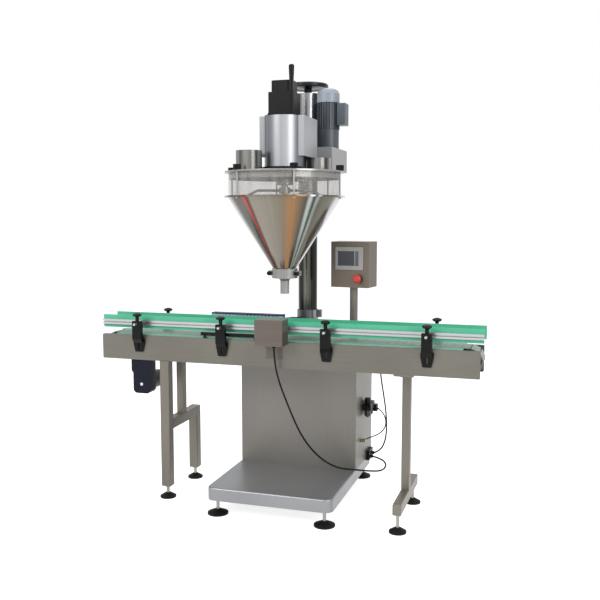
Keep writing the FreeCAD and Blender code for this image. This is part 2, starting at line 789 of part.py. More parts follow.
def rail_bracket(x):
    """A moulded bracket on the front side plate, bored for the rod and the clamp knob."""
    out_y = LANE_Y - SIDE_SPAN / 2
    plate_y = out_y - BRACKET_PLATE
    arm_y = plate_y - BRACKET_ARM
    top = BRACKET_TOP_WIDTH / 2
    foot = BRACKET_FOOT_WIDTH / 2
    waist_z = BRACKET_SHOULDER_Z - BRACKET_FOOT_WIDTH / 2
    shield = prism([
        V(x - foot, plate_y, BRACKET_FOOT_Z), V(x + foot, plate_y, BRACKET_FOOT_Z),
        V(x + top, plate_y, waist_z), V(x + top, plate_y, BRACKET_SHOULDER_Z),
        V(x - top, plate_y, BRACKET_SHOULDER_Z), V(x - top, plate_y, waist_z),
    ], V(0, BRACKET_PLATE, 0))
    half = BRACKET_WIDTH / 2
    arm = prism([
        V(x - half, arm_y, BRACKET_TOP_Z), V(x - half, plate_y, BRACKET_TOP_Z),
        V(x - half, plate_y, waist_z), V(x - half, plate_y - BRACKET_ARM / 3, waist_z),
        V(x - half, arm_y, BRACKET_SHOULDER_Z),
    ], V(BRACKET_WIDTH, 0, 0))
    back = box(x - half, x + half, plate_y, out_y, BRACKET_SHOULDER_Z, BRACKET_SHOULDER_Z + BRACKET_PLATE)
    rod_hole = rod(ROD_R + RUN_FIT, BRACKET_ARM, (x, arm_y, ROD_Z), ACROSS)
    knob_hole = rod(KNOB_STEM_R + RUN_FIT, BRACKET_TOP_Z - ROD_Z, (x, knob_y(), ROD_Z))
    slot_low = BRACKET_FOOT_Z + BRACKET_PLATE
    slot = box(x - BRACKET_SLOT_WIDTH / 2, x + BRACKET_SLOT_WIDTH / 2, plate_y, out_y,
               slot_low, slot_low + BRACKET_SLOT_LENGTH)
    return joined(shield, arm, back).cut(rod_hole).cut(knob_hole).cut(slot)


def knob_y():
    """The line of the front clamp knobs, in the middle of the bracket arms."""
    return LANE_Y - SIDE_SPAN / 2 - BRACKET_PLATE - BRACKET_ARM / 2


def rail_knob(x, y):
    """A mushroom knob whose stem bears on the rod."""
    foot = ROD_Z + ROD_R + MOVE_GAP
    top = foot + KNOB_HEIGHT
    head = top - KNOB_HEAD
    return turned([
        (0, foot), (KNOB_STEM_R, foot), (KNOB_STEM_R, BRACKET_TOP_Z + MOVE_GAP),
        (KNOB_NECK_R, BRACKET_TOP_Z + MOVE_GAP), (KNOB_NECK_R, head),
        (KNOB_R - KNOB_EDGE, head + KNOB_HEAD / 4), (KNOB_R, head + KNOB_HEAD / 2),
        (KNOB_R - KNOB_EDGE / 2, top - KNOB_HEAD / 4), (KNOB_NECK_R, top), (0, top),
    ], x, y)


def guide_rails():
    rail, strip = guide_rail(FRONT_BRACKET_X)
    save("front_rail", rail)
    save("front_rail_strip", strip)
    rail, strip = guide_rail(REAR_BRACKET_X)
    save("rear_rail", mirror_lane(rail))
    save("rear_rail_strip", mirror_lane(strip))
    brackets = [rail_bracket(x) for x in FRONT_BRACKET_X]
    brackets += [mirror_lane(rail_bracket(x)) for x in REAR_BRACKET_X]
    save("rail_brackets", *brackets)
    places = [(x, knob_y()) for x in FRONT_BRACKET_X]
    places += [(x, 2 * LANE_Y - knob_y()) for x in REAR_BRACKET_X]
    for number, (x, y) in enumerate(places, 1):
        save(f"rail_knob_{number}", rail_knob(x, y))


def conveyor_fittings():
    front_y = LANE_Y - SIDE_SPAN / 2
    left = STOP_BAR_RIGHT_X - STOP_BAR_LENGTH
    bar_z = SIDE_TOP_Z + STOP_BAR_RISE
    bar = box(left, STOP_BAR_RIGHT_X, front_y, front_y + STOP_BAR_WIDTH, bar_z, bar_z + STOP_BAR_HEIGHT)
    feet = [
        box(x, x + STOP_BAR_FOOT, front_y, front_y + STOP_BAR_WIDTH / 2, SIDE_TOP_Z, bar_z)
        for x in (left + STOP_BAR_FOOT, STOP_BAR_RIGHT_X - 2 * STOP_BAR_FOOT)
    ]
    save("stop_bar", joined(bar, *feet))

    half = SENSOR_WIDTH / 2
    back = front_y - SENSOR_PLATE
    top = SENSOR_BOTTOM_Z + SENSOR_HEIGHT
    wall = SENSOR_WALL
    case = rounded_box(SENSOR_X - half, SENSOR_X + half, back - SENSOR_DEPTH, back,
                       SENSOR_BOTTOM_Z, top, SENSOR_EDGE_R, ACROSS)
    case = case.cut(box(SENSOR_X - half + wall, SENSOR_X + half - wall, back - SENSOR_DEPTH + wall, back,
                        SENSOR_BOTTOM_Z + wall, top - wall))
    plate = box(SENSOR_X - half, SENSOR_X + half, back, front_y, SENSOR_BOTTOM_Z, top)
    foot = SENSOR_PLATE_FOOT / 2
    tongue = box(SENSOR_X - foot, SENSOR_X + foot, back, front_y, SENSOR_PLATE_LOW_Z, SENSOR_BOTTOM_Z)
    save("sensor_box", case, joined(plate, tongue))


def wiring_duct():
    y0 = DUCT_FRONT_Y
    y1 = y0 + DUCT_WIDTH
    top = DUCT_BOTTOM_Z + DUCT_HEIGHT - DUCT_COVER
    wall = DUCT_WALL
    tray = box(DUCT_LEFT_X, DUCT_RIGHT_X, y0, y1, DUCT_BOTTOM_Z, top)
    tray = tray.cut(box(DUCT_LEFT_X, DUCT_RIGHT_X, y0 + wall, y1 - wall, DUCT_BOTTOM_Z + wall, top))
    pitch = DUCT_SLOT + DUCT_TOOTH
    count = int((DUCT_RIGHT_X - DUCT_LEFT_X - DUCT_TOOTH) / pitch)
    slots = [
        box(DUCT_LEFT_X + DUCT_TOOTH + i * pitch, DUCT_LEFT_X + DUCT_TOOTH + i * pitch + DUCT_SLOT,
            y0, y1, top - DUCT_SLOT_DEPTH, top)
        for i in range(count)
    ]
    tray = tray.cut(Part.makeCompound(slots))
    cover = box(DUCT_LEFT_X, DUCT_RIGHT_X, y0 - wall, y1 + wall, top, top + DUCT_COVER)
    rear_y = LANE_Y + SIDE_SPAN / 2
    brackets = []
    for x in (DUCT_LEFT_X + DUCT_BRACKET_INSET, DUCT_RIGHT_X - DUCT_BRACKET_INSET):
        half = DUCT_BRACKET_WIDTH / 2
        low = DUCT_BOTTOM_Z - DUCT_BRACKET_WALL
        upright = box(x - half, x + half, rear_y, rear_y + DUCT_BRACKET_WALL, DUCT_BRACKET_LOW_Z,
                      DUCT_BOTTOM_Z)
        shelf = box(x - half, x + half, rear_y, y1, low, DUCT_BOTTOM_Z)
        brackets.append(joined(upright, shelf))
    save("wiring_duct", tray, cover, *brackets)


def gear_motor():
    half = MOTOR_WIDTH / 2
    back = MOTOR_FRONT_Y + MOTOR_HEAD_DEPTH
    head = box(MOTOR_X - half, MOTOR_X + half, MOTOR_FRONT_Y, back, MOTOR_BOTTOM_Z, SIDE_BOTTOM_Z)
    low = [e for e in edges_along(head, ACROSS) if e.CenterOfMass.z < MOTOR_BOTTOM_Z + MOTOR_CORNER_R]
    head = head.makeFillet(MOTOR_CORNER_R, low)
    axis_z = MOTOR_BOTTOM_Z + half
    hub = rod(MOTOR_HUB_R, MOTOR_HUB_DEPTH, (MOTOR_X, MOTOR_FRONT_Y - MOTOR_HUB_DEPTH, axis_z), ACROSS)
    can = rod(MOTOR_CAN_R, MOTOR_CAN_LENGTH, (MOTOR_X, back, axis_z), ACROSS)
    lump_x = MOTOR_X - MOTOR_LUMP_LEFT
    lump = box(lump_x, lump_x + MOTOR_LUMP_WIDTH, MOTOR_FRONT_Y, MOTOR_FRONT_Y + MOTOR_LUMP_DEPTH,
               SIDE_BOTTOM_Z - MOTOR_LUMP_HEIGHT, SIDE_BOTTOM_Z)
    corner = [e for e in edges_along(lump, ACROSS)
              if e.CenterOfMass.z < SIDE_BOTTOM_Z - MOTOR_LUMP_HEIGHT / 2]
    lump = lump.makeFillet(MOTOR_LUMP_R, corner)
    save("gear_motor", joined(head, hub, can, lump))


def square_tube(x, y, size, z0, z1):
    """An upright tube with rounded corners, about its own centre line."""
    half = size / 2
    return rounded_box(x - half, x + half, y - half, y + half, z0, z1, TUBE_CORNER_R)


def leg_frames():
    front = square_tube(LEFT_LEG_X, LEFT_FRONT_Y, LEG_TUBE, LEG_BOTTOM_Z, SIDE_BOTTOM_Z)
    beam_top = BEAM_BOTTOM_Z + BEAM_HEIGHT
    rear = square_tube(LEFT_LEG_X, LEFT_REAR_Y, LEG_TUBE, LEG_BOTTOM_Z, beam_top)
    post = square_tube(LEFT_LEG_X, LEFT_POST_Y, POST_TUBE, beam_top, SIDE_BOTTOM_Z)
    half = LEG_TUBE / 2
    beam = rounded_box(LEFT_LEG_X - half, LEFT_LEG_X + half, LEFT_FRONT_Y + half, LEFT_REAR_Y - half,
                       BEAM_BOTTOM_Z, beam_top, TUBE_CORNER_R, ACROSS)
    plate_z = SIDE_BOTTOM_Z - HEAD_PLATE_HEIGHT
    centre = square_tube(RIGHT_LEG_X, LANE_Y, POST_TUBE, RIGHT_BEAM_BOTTOM_Z + RIGHT_BEAM_HEIGHT, plate_z)
    foot = rounded_box(RIGHT_LEG_X - POST_TUBE / 2, RIGHT_LEG_X + POST_TUBE / 2,
                       LANE_Y - RIGHT_BEAM_LENGTH / 2, LANE_Y + RIGHT_BEAM_LENGTH / 2,
                       RIGHT_BEAM_BOTTOM_Z, RIGHT_BEAM_BOTTOM_Z + RIGHT_BEAM_HEIGHT, TUBE_CORNER_R, ACROSS)
    save("leg_frames", front, rear, post, beam, centre, foot)

    reach = HEAD_PLATE_LENGTH / 2
    span = SIDE_SPAN / 2
    plate = box(RIGHT_LEG_X - reach, RIGHT_LEG_X + reach, LANE_Y - span, LANE_Y + span,
                plate_z, SIDE_BOTTOM_Z)
    socket = HEAD_SOCKET / 2
    inner = POST_TUBE / 2 + SEAT_FIT
    collar = box(RIGHT_LEG_X - socket, RIGHT_LEG_X + socket, LANE_Y - socket, LANE_Y + socket,
                 plate_z - HEAD_SOCKET_HEIGHT, plate_z)
    collar = collar.cut(box(RIGHT_LEG_X - inner, RIGHT_LEG_X + inner, LANE_Y - inner, LANE_Y + inner,
                            plate_z - HEAD_SOCKET_HEIGHT, plate_z))
    save("leg_brackets", joined(plate, collar))


# ================================================================ column
def column():
    foot_z = BASE_TOP_Z + CABINET_WALL
    bore = COLUMN_R - COLUMN_WALL
    tube = pipe(COLUMN_R, bore, COLUMN_TOP_Z - foot_z, (0, COLUMN_Y, foot_z))
    foot = pipe(COLUMN_FOOT_R, bore, COLUMN_FOOT_HEIGHT, (0, COLUMN_Y, foot_z))
    nut = pipe(COLUMN_R, SCREW_R + RUN_FIT, LIFT_NUT_HEIGHT, (0, COLUMN_Y, COLUMN_TOP_Z - LIFT_NUT_HEIGHT))
    save("column_tube", joined(tube, foot, nut))

    inner = COLUMN_R + SEAT_FIT
    height = COLLAR_TOP_Z - CABINET_TOP_Z
    ring = rod(COLLAR_R, height, (0, COLUMN_Y, CABINET_TOP_Z))
    flange = rod(COLLAR_FLANGE_R, COLLAR_FLANGE_HEIGHT, (0, COLUMN_Y, CABINET_TOP_Z))
    ear_z = COLLAR_TOP_Z - COLLAR_EAR_HEIGHT
    ear = box(inner, COLLAR_R + COLLAR_EAR, COLUMN_Y - COLLAR_EAR_WIDTH, COLUMN_Y + COLLAR_EAR_WIDTH,
              ear_z, COLLAR_TOP_Z)
    slit = box(inner - COLLAR_SLIT, COLLAR_R + COLLAR_EAR, COLUMN_Y - COLLAR_SLIT / 2,
               COLUMN_Y + COLLAR_SLIT / 2, ear_z, COLLAR_TOP_Z)
    collar = joined(ring, flange, ear).cut(rod(inner, height, (0, COLUMN_Y, CABINET_TOP_Z))).cut(slit)
    save("column_collar", collar)


# ================================================================ lifting head
def head_structure():
    length = SLEEVE_TOP_Z - SLEEVE_BOTTOM_Z
    sleeve = rod(SLEEVE_R, length, (0, COLUMN_Y, SLEEVE_BOTTOM_Z))
    sleeve = sleeve.cut(rod(COLUMN_R + RUN_FIT, length - SLEEVE_CAP, (0, COLUMN_Y, SLEEVE_BOTTOM_Z)))
    sleeve = sleeve.cut(rod(SCREW_R + RUN_FIT, length, (0, COLUMN_Y, SLEEVE_BOTTOM_Z)))
    save("column_sleeve", sleeve)

    socket = SLEEVE_R + SEAT_FIT
    arm = rounded_box(ARM_LEFT_X, ARM_RIGHT_X, ARM_FRONT_Y, ARM_BACK_Y, ARM_BOTTOM_Z, ARM_TOP_Z, ARM_EDGE_R)
    room = box(ARM_LEFT_X + ARM_WALL, ARM_RIGHT_X - ARM_WALL, ARM_FRONT_Y + ARM_WALL,
               ARM_BACK_Y - ARM_WALL, ARM_BOTTOM_Z, ARM_TOP_Z - ARM_WALL)
    boss = rod(socket + ARM_WALL, ARM_HEIGHT, (0, COLUMN_Y, ARM_BOTTOM_Z))
    riser = box(-RISER_WIDTH / 2, RISER_WIDTH / 2, ARM_FRONT_Y, COLUMN_Y, ARM_TOP_Z, RISER_TOP_Z)
    arm = joined(arm.cut(room), boss, riser)
    arm = arm.cut(rod(socket, RISER_TOP_Z - ARM_BOTTOM_Z, (0, COLUMN_Y, ARM_BOTTOM_Z)))
    save("arm_box", arm)

    half = HOUSING_WIDTH / 2
    wall = HOUSING_WALL
    housing = rounded_box(-half, half, HOUSING_FRONT_Y, ARM_FRONT_Y, HOUSING_BOTTOM_Z, HOUSING_TOP_Z,
                          HOUSING_EDGE_R)
    housing = housing.cut(box(-half + wall, half - wall, HOUSING_FRONT_Y + wall, ARM_FRONT_Y - wall,
                              HOUSING_BOTTOM_Z, HOUSING_TOP_Z - wall))
    housing = housing.cut(rod(BARREL_R + SEAT_FIT, HOUSING_TOP_Z - HOUSING_BOTTOM_Z,
                              (0, LANE_Y, HOUSING_BOTTOM_Z)))
    save("drive_housing", housing)


def head_drive():
    barrel_z = LID_TOP_Z + DRIVE_PLATE_HEIGHT
    barrel = pipe(BARREL_R, BARREL_R - BARREL_WALL, HOUSING_TOP_Z - barrel_z, (0, LANE_Y, barrel_z))
    plate = pipe(DRIVE_PLATE_R, STIR_TUBE_R + MOVE_GAP, DRIVE_PLATE_HEIGHT, (0, LANE_Y, LID_TOP_Z))
    save("drive_barrel", barrel, plate)

    half = SERVO_WIDTH / 2
    z = HOUSING_TOP_Z
    flange = rounded_box(-half, half, LANE_Y - half, LANE_Y + half, z, z + SERVO_FLANGE, SERVO_EDGE_R)
    slim = half - SERVO_WAIST
    top = z + SERVO_GAP + SERVO_HEIGHT
    body = rounded_box(-slim, slim, LANE_Y - slim, LANE_Y + slim, z + SERVO_FLANGE, top, SERVO_EDGE_R)
    cap = ENCODER_WIDTH / 2
    encoder = rounded_box(-cap, cap, LANE_Y - cap, LANE_Y + cap, top, top + ENCODER_HEIGHT, ENCODER_EDGE_R)
    disc = rod(BARREL_R, SERVO_GAP, (0, LANE_Y, z))
    save("servo_motor", joined(disc, flange, body, encoder))


def stir_motor():
    x = STIR_MOTOR_X
    y = STIR_MOTOR_Y
    gearbox = rod(STIR_GEARBOX_R, STIR_GEARBOX_HEIGHT, (x, y, ARM_TOP_Z))
    rib_z = ARM_TOP_Z + STIR_GEARBOX_HEIGHT
    core = rod(STIR_MOTOR_R, STIR_RIB_HEIGHT, (x, y, rib_z))
    rib = box(x + STIR_MOTOR_R - STIR_RIB, x + STIR_RIB_R, y - STIR_RIB / 2, y + STIR_RIB / 2,
              rib_z, rib_z + STIR_RIB_HEIGHT)
    cowl_z = rib_z + STIR_RIB_HEIGHT
    top = cowl_z + STIR_COWL_HEIGHT
    cowl = turned([(0, cowl_z), (STIR_RIB_R, cowl_z), (STIR_RIB_R, top - STIR_DOME),
                   (STIR_RIB_R - STIR_DOME / 3, top - STIR_DOME / 3),
                   (STIR_RIB_R - STIR_DOME, top), (0, top)], x, y)
    motor = joined(gearbox, core, cowl, *around(rib, STIR_RIB_COUNT, x, y))
    half = STIR_BOX_WIDTH / 2
    side = x + STIR_RIB_R - STIR_BOX_GAP
    terminal = rounded_box(side, side + STIR_BOX_DEPTH, y - half, y + half, STIR_BOX_Z,
                           STIR_BOX_Z + STIR_BOX_HEIGHT, ARM_EDGE_R)
    save("agitator_motor", joined(motor, terminal))


# ================================================================ hopper
def ports():
    """The lid's inlet ports as (x, y, height)."""
    return [(x, LANE_Y + y, height) for x, y, height in (LEFT_PORT, RIGHT_PORT)]


def hopper_lid():
    lid = rod(LID_R, LID_HEIGHT, (0, LANE_Y, LID_BOTTOM_Z))
    hub = rod(LID_HUB_R, LID_HUB_HEIGHT, (0, LANE_Y, LID_BOTTOM_Z - LID_HUB_HEIGHT))
    skirt_r = WINDOW_R - WINDOW_WALL - SEAT_FIT
    skirt = pipe(skirt_r, skirt_r - LID_SKIRT_WALL, LID_SKIRT_HEIGHT,
                 (0, LANE_Y, LID_BOTTOM_Z - LID_SKIRT_HEIGHT))
    necks = []
    holes = [rod(STIR_TUBE_R + RUN_FIT, LID_HUB_HEIGHT + LID_HEIGHT,
                 (0, LANE_Y, LID_BOTTOM_Z - LID_HUB_HEIGHT))]
    for x, y, height in ports():
        necks.append(rod(PORT_R, height, (x, y, LID_TOP_Z)))
        necks.append(rod(PORT_R + PORT_BEAD, PORT_BEAD, (x, y, LID_TOP_Z)))
        holes.append(rod(PORT_R - PORT_WALL, height + LID_HEIGHT, (x, y, LID_BOTTOM_Z)))
    tie = rod(TIE_R + BOLT_FIT, LID_HEIGHT, (TIE_CIRCLE_R, LANE_Y, LID_BOTTOM_Z))
    holes += around(tie, TIE_COUNT, 0, LANE_Y, TIE_FIRST_DEG)
    save("hopper_lid", joined(lid, hub, skirt, *necks).cut(Part.makeCompound(holes)))


def hopper_window():
    save("hopper_window", pipe(WINDOW_R, WINDOW_R - WINDOW_WALL, LID_BOTTOM_Z - FLANGE_TOP_Z,
                               (0, LANE_Y, FLANGE_TOP_Z)))


def hopper_cone():
    inner_top = WINDOW_R - CONE_WALL
    bore = SPIGOT_R - SPIGOT_WALL
    shell = turned([
        (WINDOW_R, CONE_TOP_Z), (FLANGE_R, CONE_TOP_Z), (FLANGE_R, FLANGE_TOP_Z),
        (inner_top, FLANGE_TOP_Z), (inner_top, CONE_TOP_Z), (CONE_FOOT_R - CONE_WALL, CONE_FOOT_Z),
        (bore, CONE_FOOT_Z), (bore, SPIGOT_BOTTOM_Z), (SPIGOT_R, SPIGOT_BOTTOM_Z),
        (SPIGOT_R, CONE_FOOT_Z - CONE_WALL), (CONE_FOOT_R, CONE_FOOT_Z - CONE_WALL),
    ], 0, LANE_Y)
    tie = rod(TIE_R + BOLT_FIT, FLANGE_HEIGHT, (TIE_CIRCLE_R, LANE_Y, CONE_TOP_Z))
    save("hopper_cone", shell.cut(Part.makeCompound(around(tie, TIE_COUNT, 0, LANE_Y, TIE_FIRST_DEG))))


def tie_rods():
    low = CONE_TOP_Z - TIE_NUT_HEIGHT
    bar = rod(TIE_R, LID_TOP_Z + LID_KNOB_HEIGHT / 2 - low, (TIE_CIRCLE_R, LANE_Y, low))
    nut = hexagon(TIE_NUT_R, TIE_NUT_HEIGHT, TIE_CIRCLE_R, LANE_Y, low)
    save("tie_rods", *around(joined(bar, nut), TIE_COUNT, 0, LANE_Y, TIE_FIRST_DEG))

    knob = rod(LID_KNOB_R, LID_KNOB_HEIGHT, (TIE_CIRCLE_R, LANE_Y, LID_TOP_Z))
    scallop = rod(LID_KNOB_SCALLOP, LID_KNOB_HEIGHT, (TIE_CIRCLE_R + LID_KNOB_R, LANE_Y, LID_TOP_Z))
    knob = knob.cut(Part.makeCompound(around(scallop, LID_KNOB_LOBES, TIE_CIRCLE_R, LANE_Y)))
    knob = knob.cut(rod(TIE_R + SEAT_FIT, LID_KNOB_HEIGHT / 2, (TIE_CIRCLE_R, LANE_Y, LID_TOP_Z)))
    save("lid_knobs", *around(knob, TIE_COUNT, 0, LANE_Y, TIE_FIRST_DEG))


def neck_clamp():
    height = CLAMP_TOP_Z - CLAMP_BOTTOM_Z
    ring = rod(CLAMP_R, height, (0, LANE_Y, CLAMP_BOTTOM_Z))
    reach = CLAMP_R + CLAMP_EAR
    middle = (CLAMP_BOTTOM_Z + CLAMP_TOP_Z) / 2
    ears = box(-reach, reach, LANE_Y - CLAMP_EAR_WIDTH / 2, LANE_Y + CLAMP_EAR_WIDTH / 2,
               middle - CLAMP_EAR_HEIGHT / 2, middle + CLAMP_EAR_HEIGHT / 2)
    ring = joined(ring, ears)
    ring = ring.cut(rod(SPIGOT_R + SEAT_FIT, height, (0, LANE_Y, CLAMP_BOTTOM_Z + CLAMP_LIP)))
    ring = ring.cut(rod(NOZZLE_TOP_R + 2 * CLAMP_LIP, height, (0, LANE_Y, CLAMP_BOTTOM_Z)))
    slit = box(-reach, reach, LANE_Y - CLAMP_SLIT / 2, LANE_Y + CLAMP_SLIT / 2,
               CLAMP_BOTTOM_Z, CLAMP_TOP_Z)
    halves = ring.cut(slit).Solids
    knobs = []
    for side in (-1, 1):
        x = side * (CLAMP_R + CLAMP_EAR / 2)
        y = LANE_Y - CLAMP_EAR_WIDTH / 2 - CLAMP_KNOB_LENGTH
        knobs.append(rod(CLAMP_KNOB_R, CLAMP_KNOB_LENGTH, (x, y, middle), ACROSS))
    save("neck_clamp", *halves, *knobs)


def nozzle():
    seat = CLAMP_BOTTOM_Z + CLAMP_LIP
    wall = NOZZLE_R - NOZZLE_BORE_R
    save("nozzle", turned([
        (NOZZLE_BORE_R, NOZZLE_BOTTOM_Z), (NOZZLE_R, NOZZLE_BOTTOM_Z), (NOZZLE_R, NOZZLE_NECK_Z),
        (NOZZLE_TOP_R, seat), (NOZZLE_FLANGE_R, seat), (NOZZLE_FLANGE_R, SPIGOT_BOTTOM_Z),
        (NOZZLE_TOP_R - wall, SPIGOT_BOTTOM_Z), (NOZZLE_BORE_R, NOZZLE_NECK_Z + CLAMP_LIP),
    ], 0, LANE_Y))


def auger():
    """The metering screw: a helical flight on a core, and the shaft up to the servo."""
    core = rod(AUGER_CORE_R, AUGER_CORE_TOP_Z - AUGER_BOTTOM_Z, (0, LANE_Y, AUGER_BOTTOM_Z))
    shaft = rod(AUGER_SHAFT_R, AUGER_TOP_Z - AUGER_CORE_TOP_Z, (0, LANE_Y, AUGER_CORE_TOP_Z))
    height = AUGER_FLIGHT_TOP_Z - AUGER_BOTTOM_Z - 2 * AUGER_FLIGHT
    low = AUGER_BOTTOM_Z + AUGER_FLIGHT / 2
    helix = Part.makeHelix(AUGER_PITCH, height, AUGER_FLIGHT_R)
    root = AUGER_CORE_R - AUGER_FLIGHT
    section = Part.makePolygon([
        V(root, 0, 0), V(AUGER_FLIGHT_R, 0, 0), V(AUGER_FLIGHT_R, 0, AUGER_FLIGHT),
        V(root, 0, AUGER_FLIGHT), V(root, 0, 0),
    ])
    flight = Part.Wire(helix.Edges).makePipeShell([section], True, True)
    flight.translate(V(0, LANE_Y, low))
    save("auger", joined(core, shaft, flight))


def agitator():
    """The stirrer: a hollow shaft round the auger's, with two arms that follow the cone."""
    tube = pipe(STIR_TUBE_R, AUGER_SHAFT_R + RUN_FIT, STIR_TUBE_TOP_Z - STIR_TUBE_BOTTOM_Z,
                (0, LANE_Y, STIR_TUBE_BOTTOM_Z))
    hub = pipe(STIR_HUB_R, AUGER_SHAFT_R + RUN_FIT, STIR_HUB_HEIGHT, (0, LANE_Y, STIR_TUBE_BOTTOM_Z))
    slope = (WINDOW_R - CONE_FOOT_R) / (CONE_TOP_Z - CONE_FOOT_Z)
    elbow_r = CONE_FOOT_R + slope * (STIR_ARM_ELBOW_Z - CONE_FOOT_Z) - STIR_WALL_GAP
    low_r = CONE_FOOT_R + slope * (STIR_ARM_LOW_Z - CONE_FOOT_Z) - STIR_WALL_GAP
    root_z = STIR_TUBE_BOTTOM_Z + STIR_HUB_HEIGHT / 2
    route = [V((STIR_HUB_R + STIR_TUBE_R) / 2, 0, root_z), V(STIR_ARM_SHOULDER_R, 0, root_z),
             V(elbow_r, 0, STIR_ARM_ELBOW_Z), V(low_r, 0, STIR_ARM_LOW_Z)]
    pieces = []
    for start, end in zip(route, route[1:]):
        run = end.sub(start)
        pieces.append(Part.makeCylinder(STIR_ARM_R, run.Length, start, run))
        pieces.append(Part.makeSphere(STIR_ARM_R, end))
    arm = joined(*pieces)
    arm.translate(V(0, LANE_Y, 0))
    body = joined(tube, hub, *around(arm, 2, 0, LANE_Y, STIR_ARM_DEG))
    save("agitator", body.cut(rod(AUGER_SHAFT_R + RUN_FIT, STIR_HUB_HEIGHT, (0, LANE_Y, STIR_TUBE_BOTTOM_Z))))


# ================================================================ handwheel
def handwheel():
    top = WHEEL_RIM_Z + WHEEL_RIM_HEIGHT
    web_r = WHEEL_R - WHEEL_RIM_HEIGHT
    wheel = turned([
        (0, WHEEL_HUB_Z), (WHEEL_HUB_R, WHEEL_HUB_Z), (WHEEL_HUB_R, WHEEL_RIM_Z),
        (web_r, WHEEL_RIM_Z + WHEEL_WEB), (WHEEL_R - WHEEL_WEB, WHEEL_RIM_Z),
        (WHEEL_R, WHEEL_RIM_Z + WHEEL_WEB), (WHEEL_R, top - WHEEL_WEB), (WHEEL_R - WHEEL_WEB, top),
        (web_r, top - WHEEL_WEB), (web_r - WHEEL_WEB, WHEEL_RIM_Z + 2 * WHEEL_WEB),
        (WHEEL_HUB_R, WHEEL_RIM_Z + 2 * WHEEL_WEB), (WHEEL_HUB_R, top), (0, top),
    ], 0, COLUMN_Y)
    screw = rod(SCREW_R, WHEEL_HUB_Z - SCREW_BOTTOM_Z, (0, COLUMN_Y, SCREW_BOTTOM_Z))
    boss = rod(GRIP_LOW_R, WHEEL_RIM_HEIGHT - WHEEL_WEB,
               (GRIP_X, COLUMN_Y + GRIP_Y, WHEEL_RIM_Z + WHEEL_WEB))
    pin = rod(GRIP_PIN_R, GRIP_HEIGHT / 2, (GRIP_X, COLUMN_Y + GRIP_Y, top))
    save("handwheel", joined(wheel, screw, boss, pin))
    low = top + GRIP_RISE
    bore = GRIP_PIN_R + RUN_FIT
    depth = GRIP_HEIGHT / 2 + GRIP_RISE
    save("handwheel_grip", turned([
        (bore, low), (GRIP_LOW_R, low), (GRIP_TOP_R, low + GRIP_HEIGHT - GRIP_TOP_R / 2),
        (GRIP_LOW_R, low + GRIP_HEIGHT), (0, low + GRIP_HEIGHT), (0, low + depth), (bore, low + depth),
    ], GRIP_X, COLUMN_Y + GRIP_Y))


# ================================================================ control box
def turn_box(shape):
    """Turns a piece of the control box about the post, as the box stands at rest."""
    copy = shape.copy()
    copy.rotate(V(BOX_POST_X, BOX_POST_Y, 0), UP, BOX_TURN_DEG)
    return copy


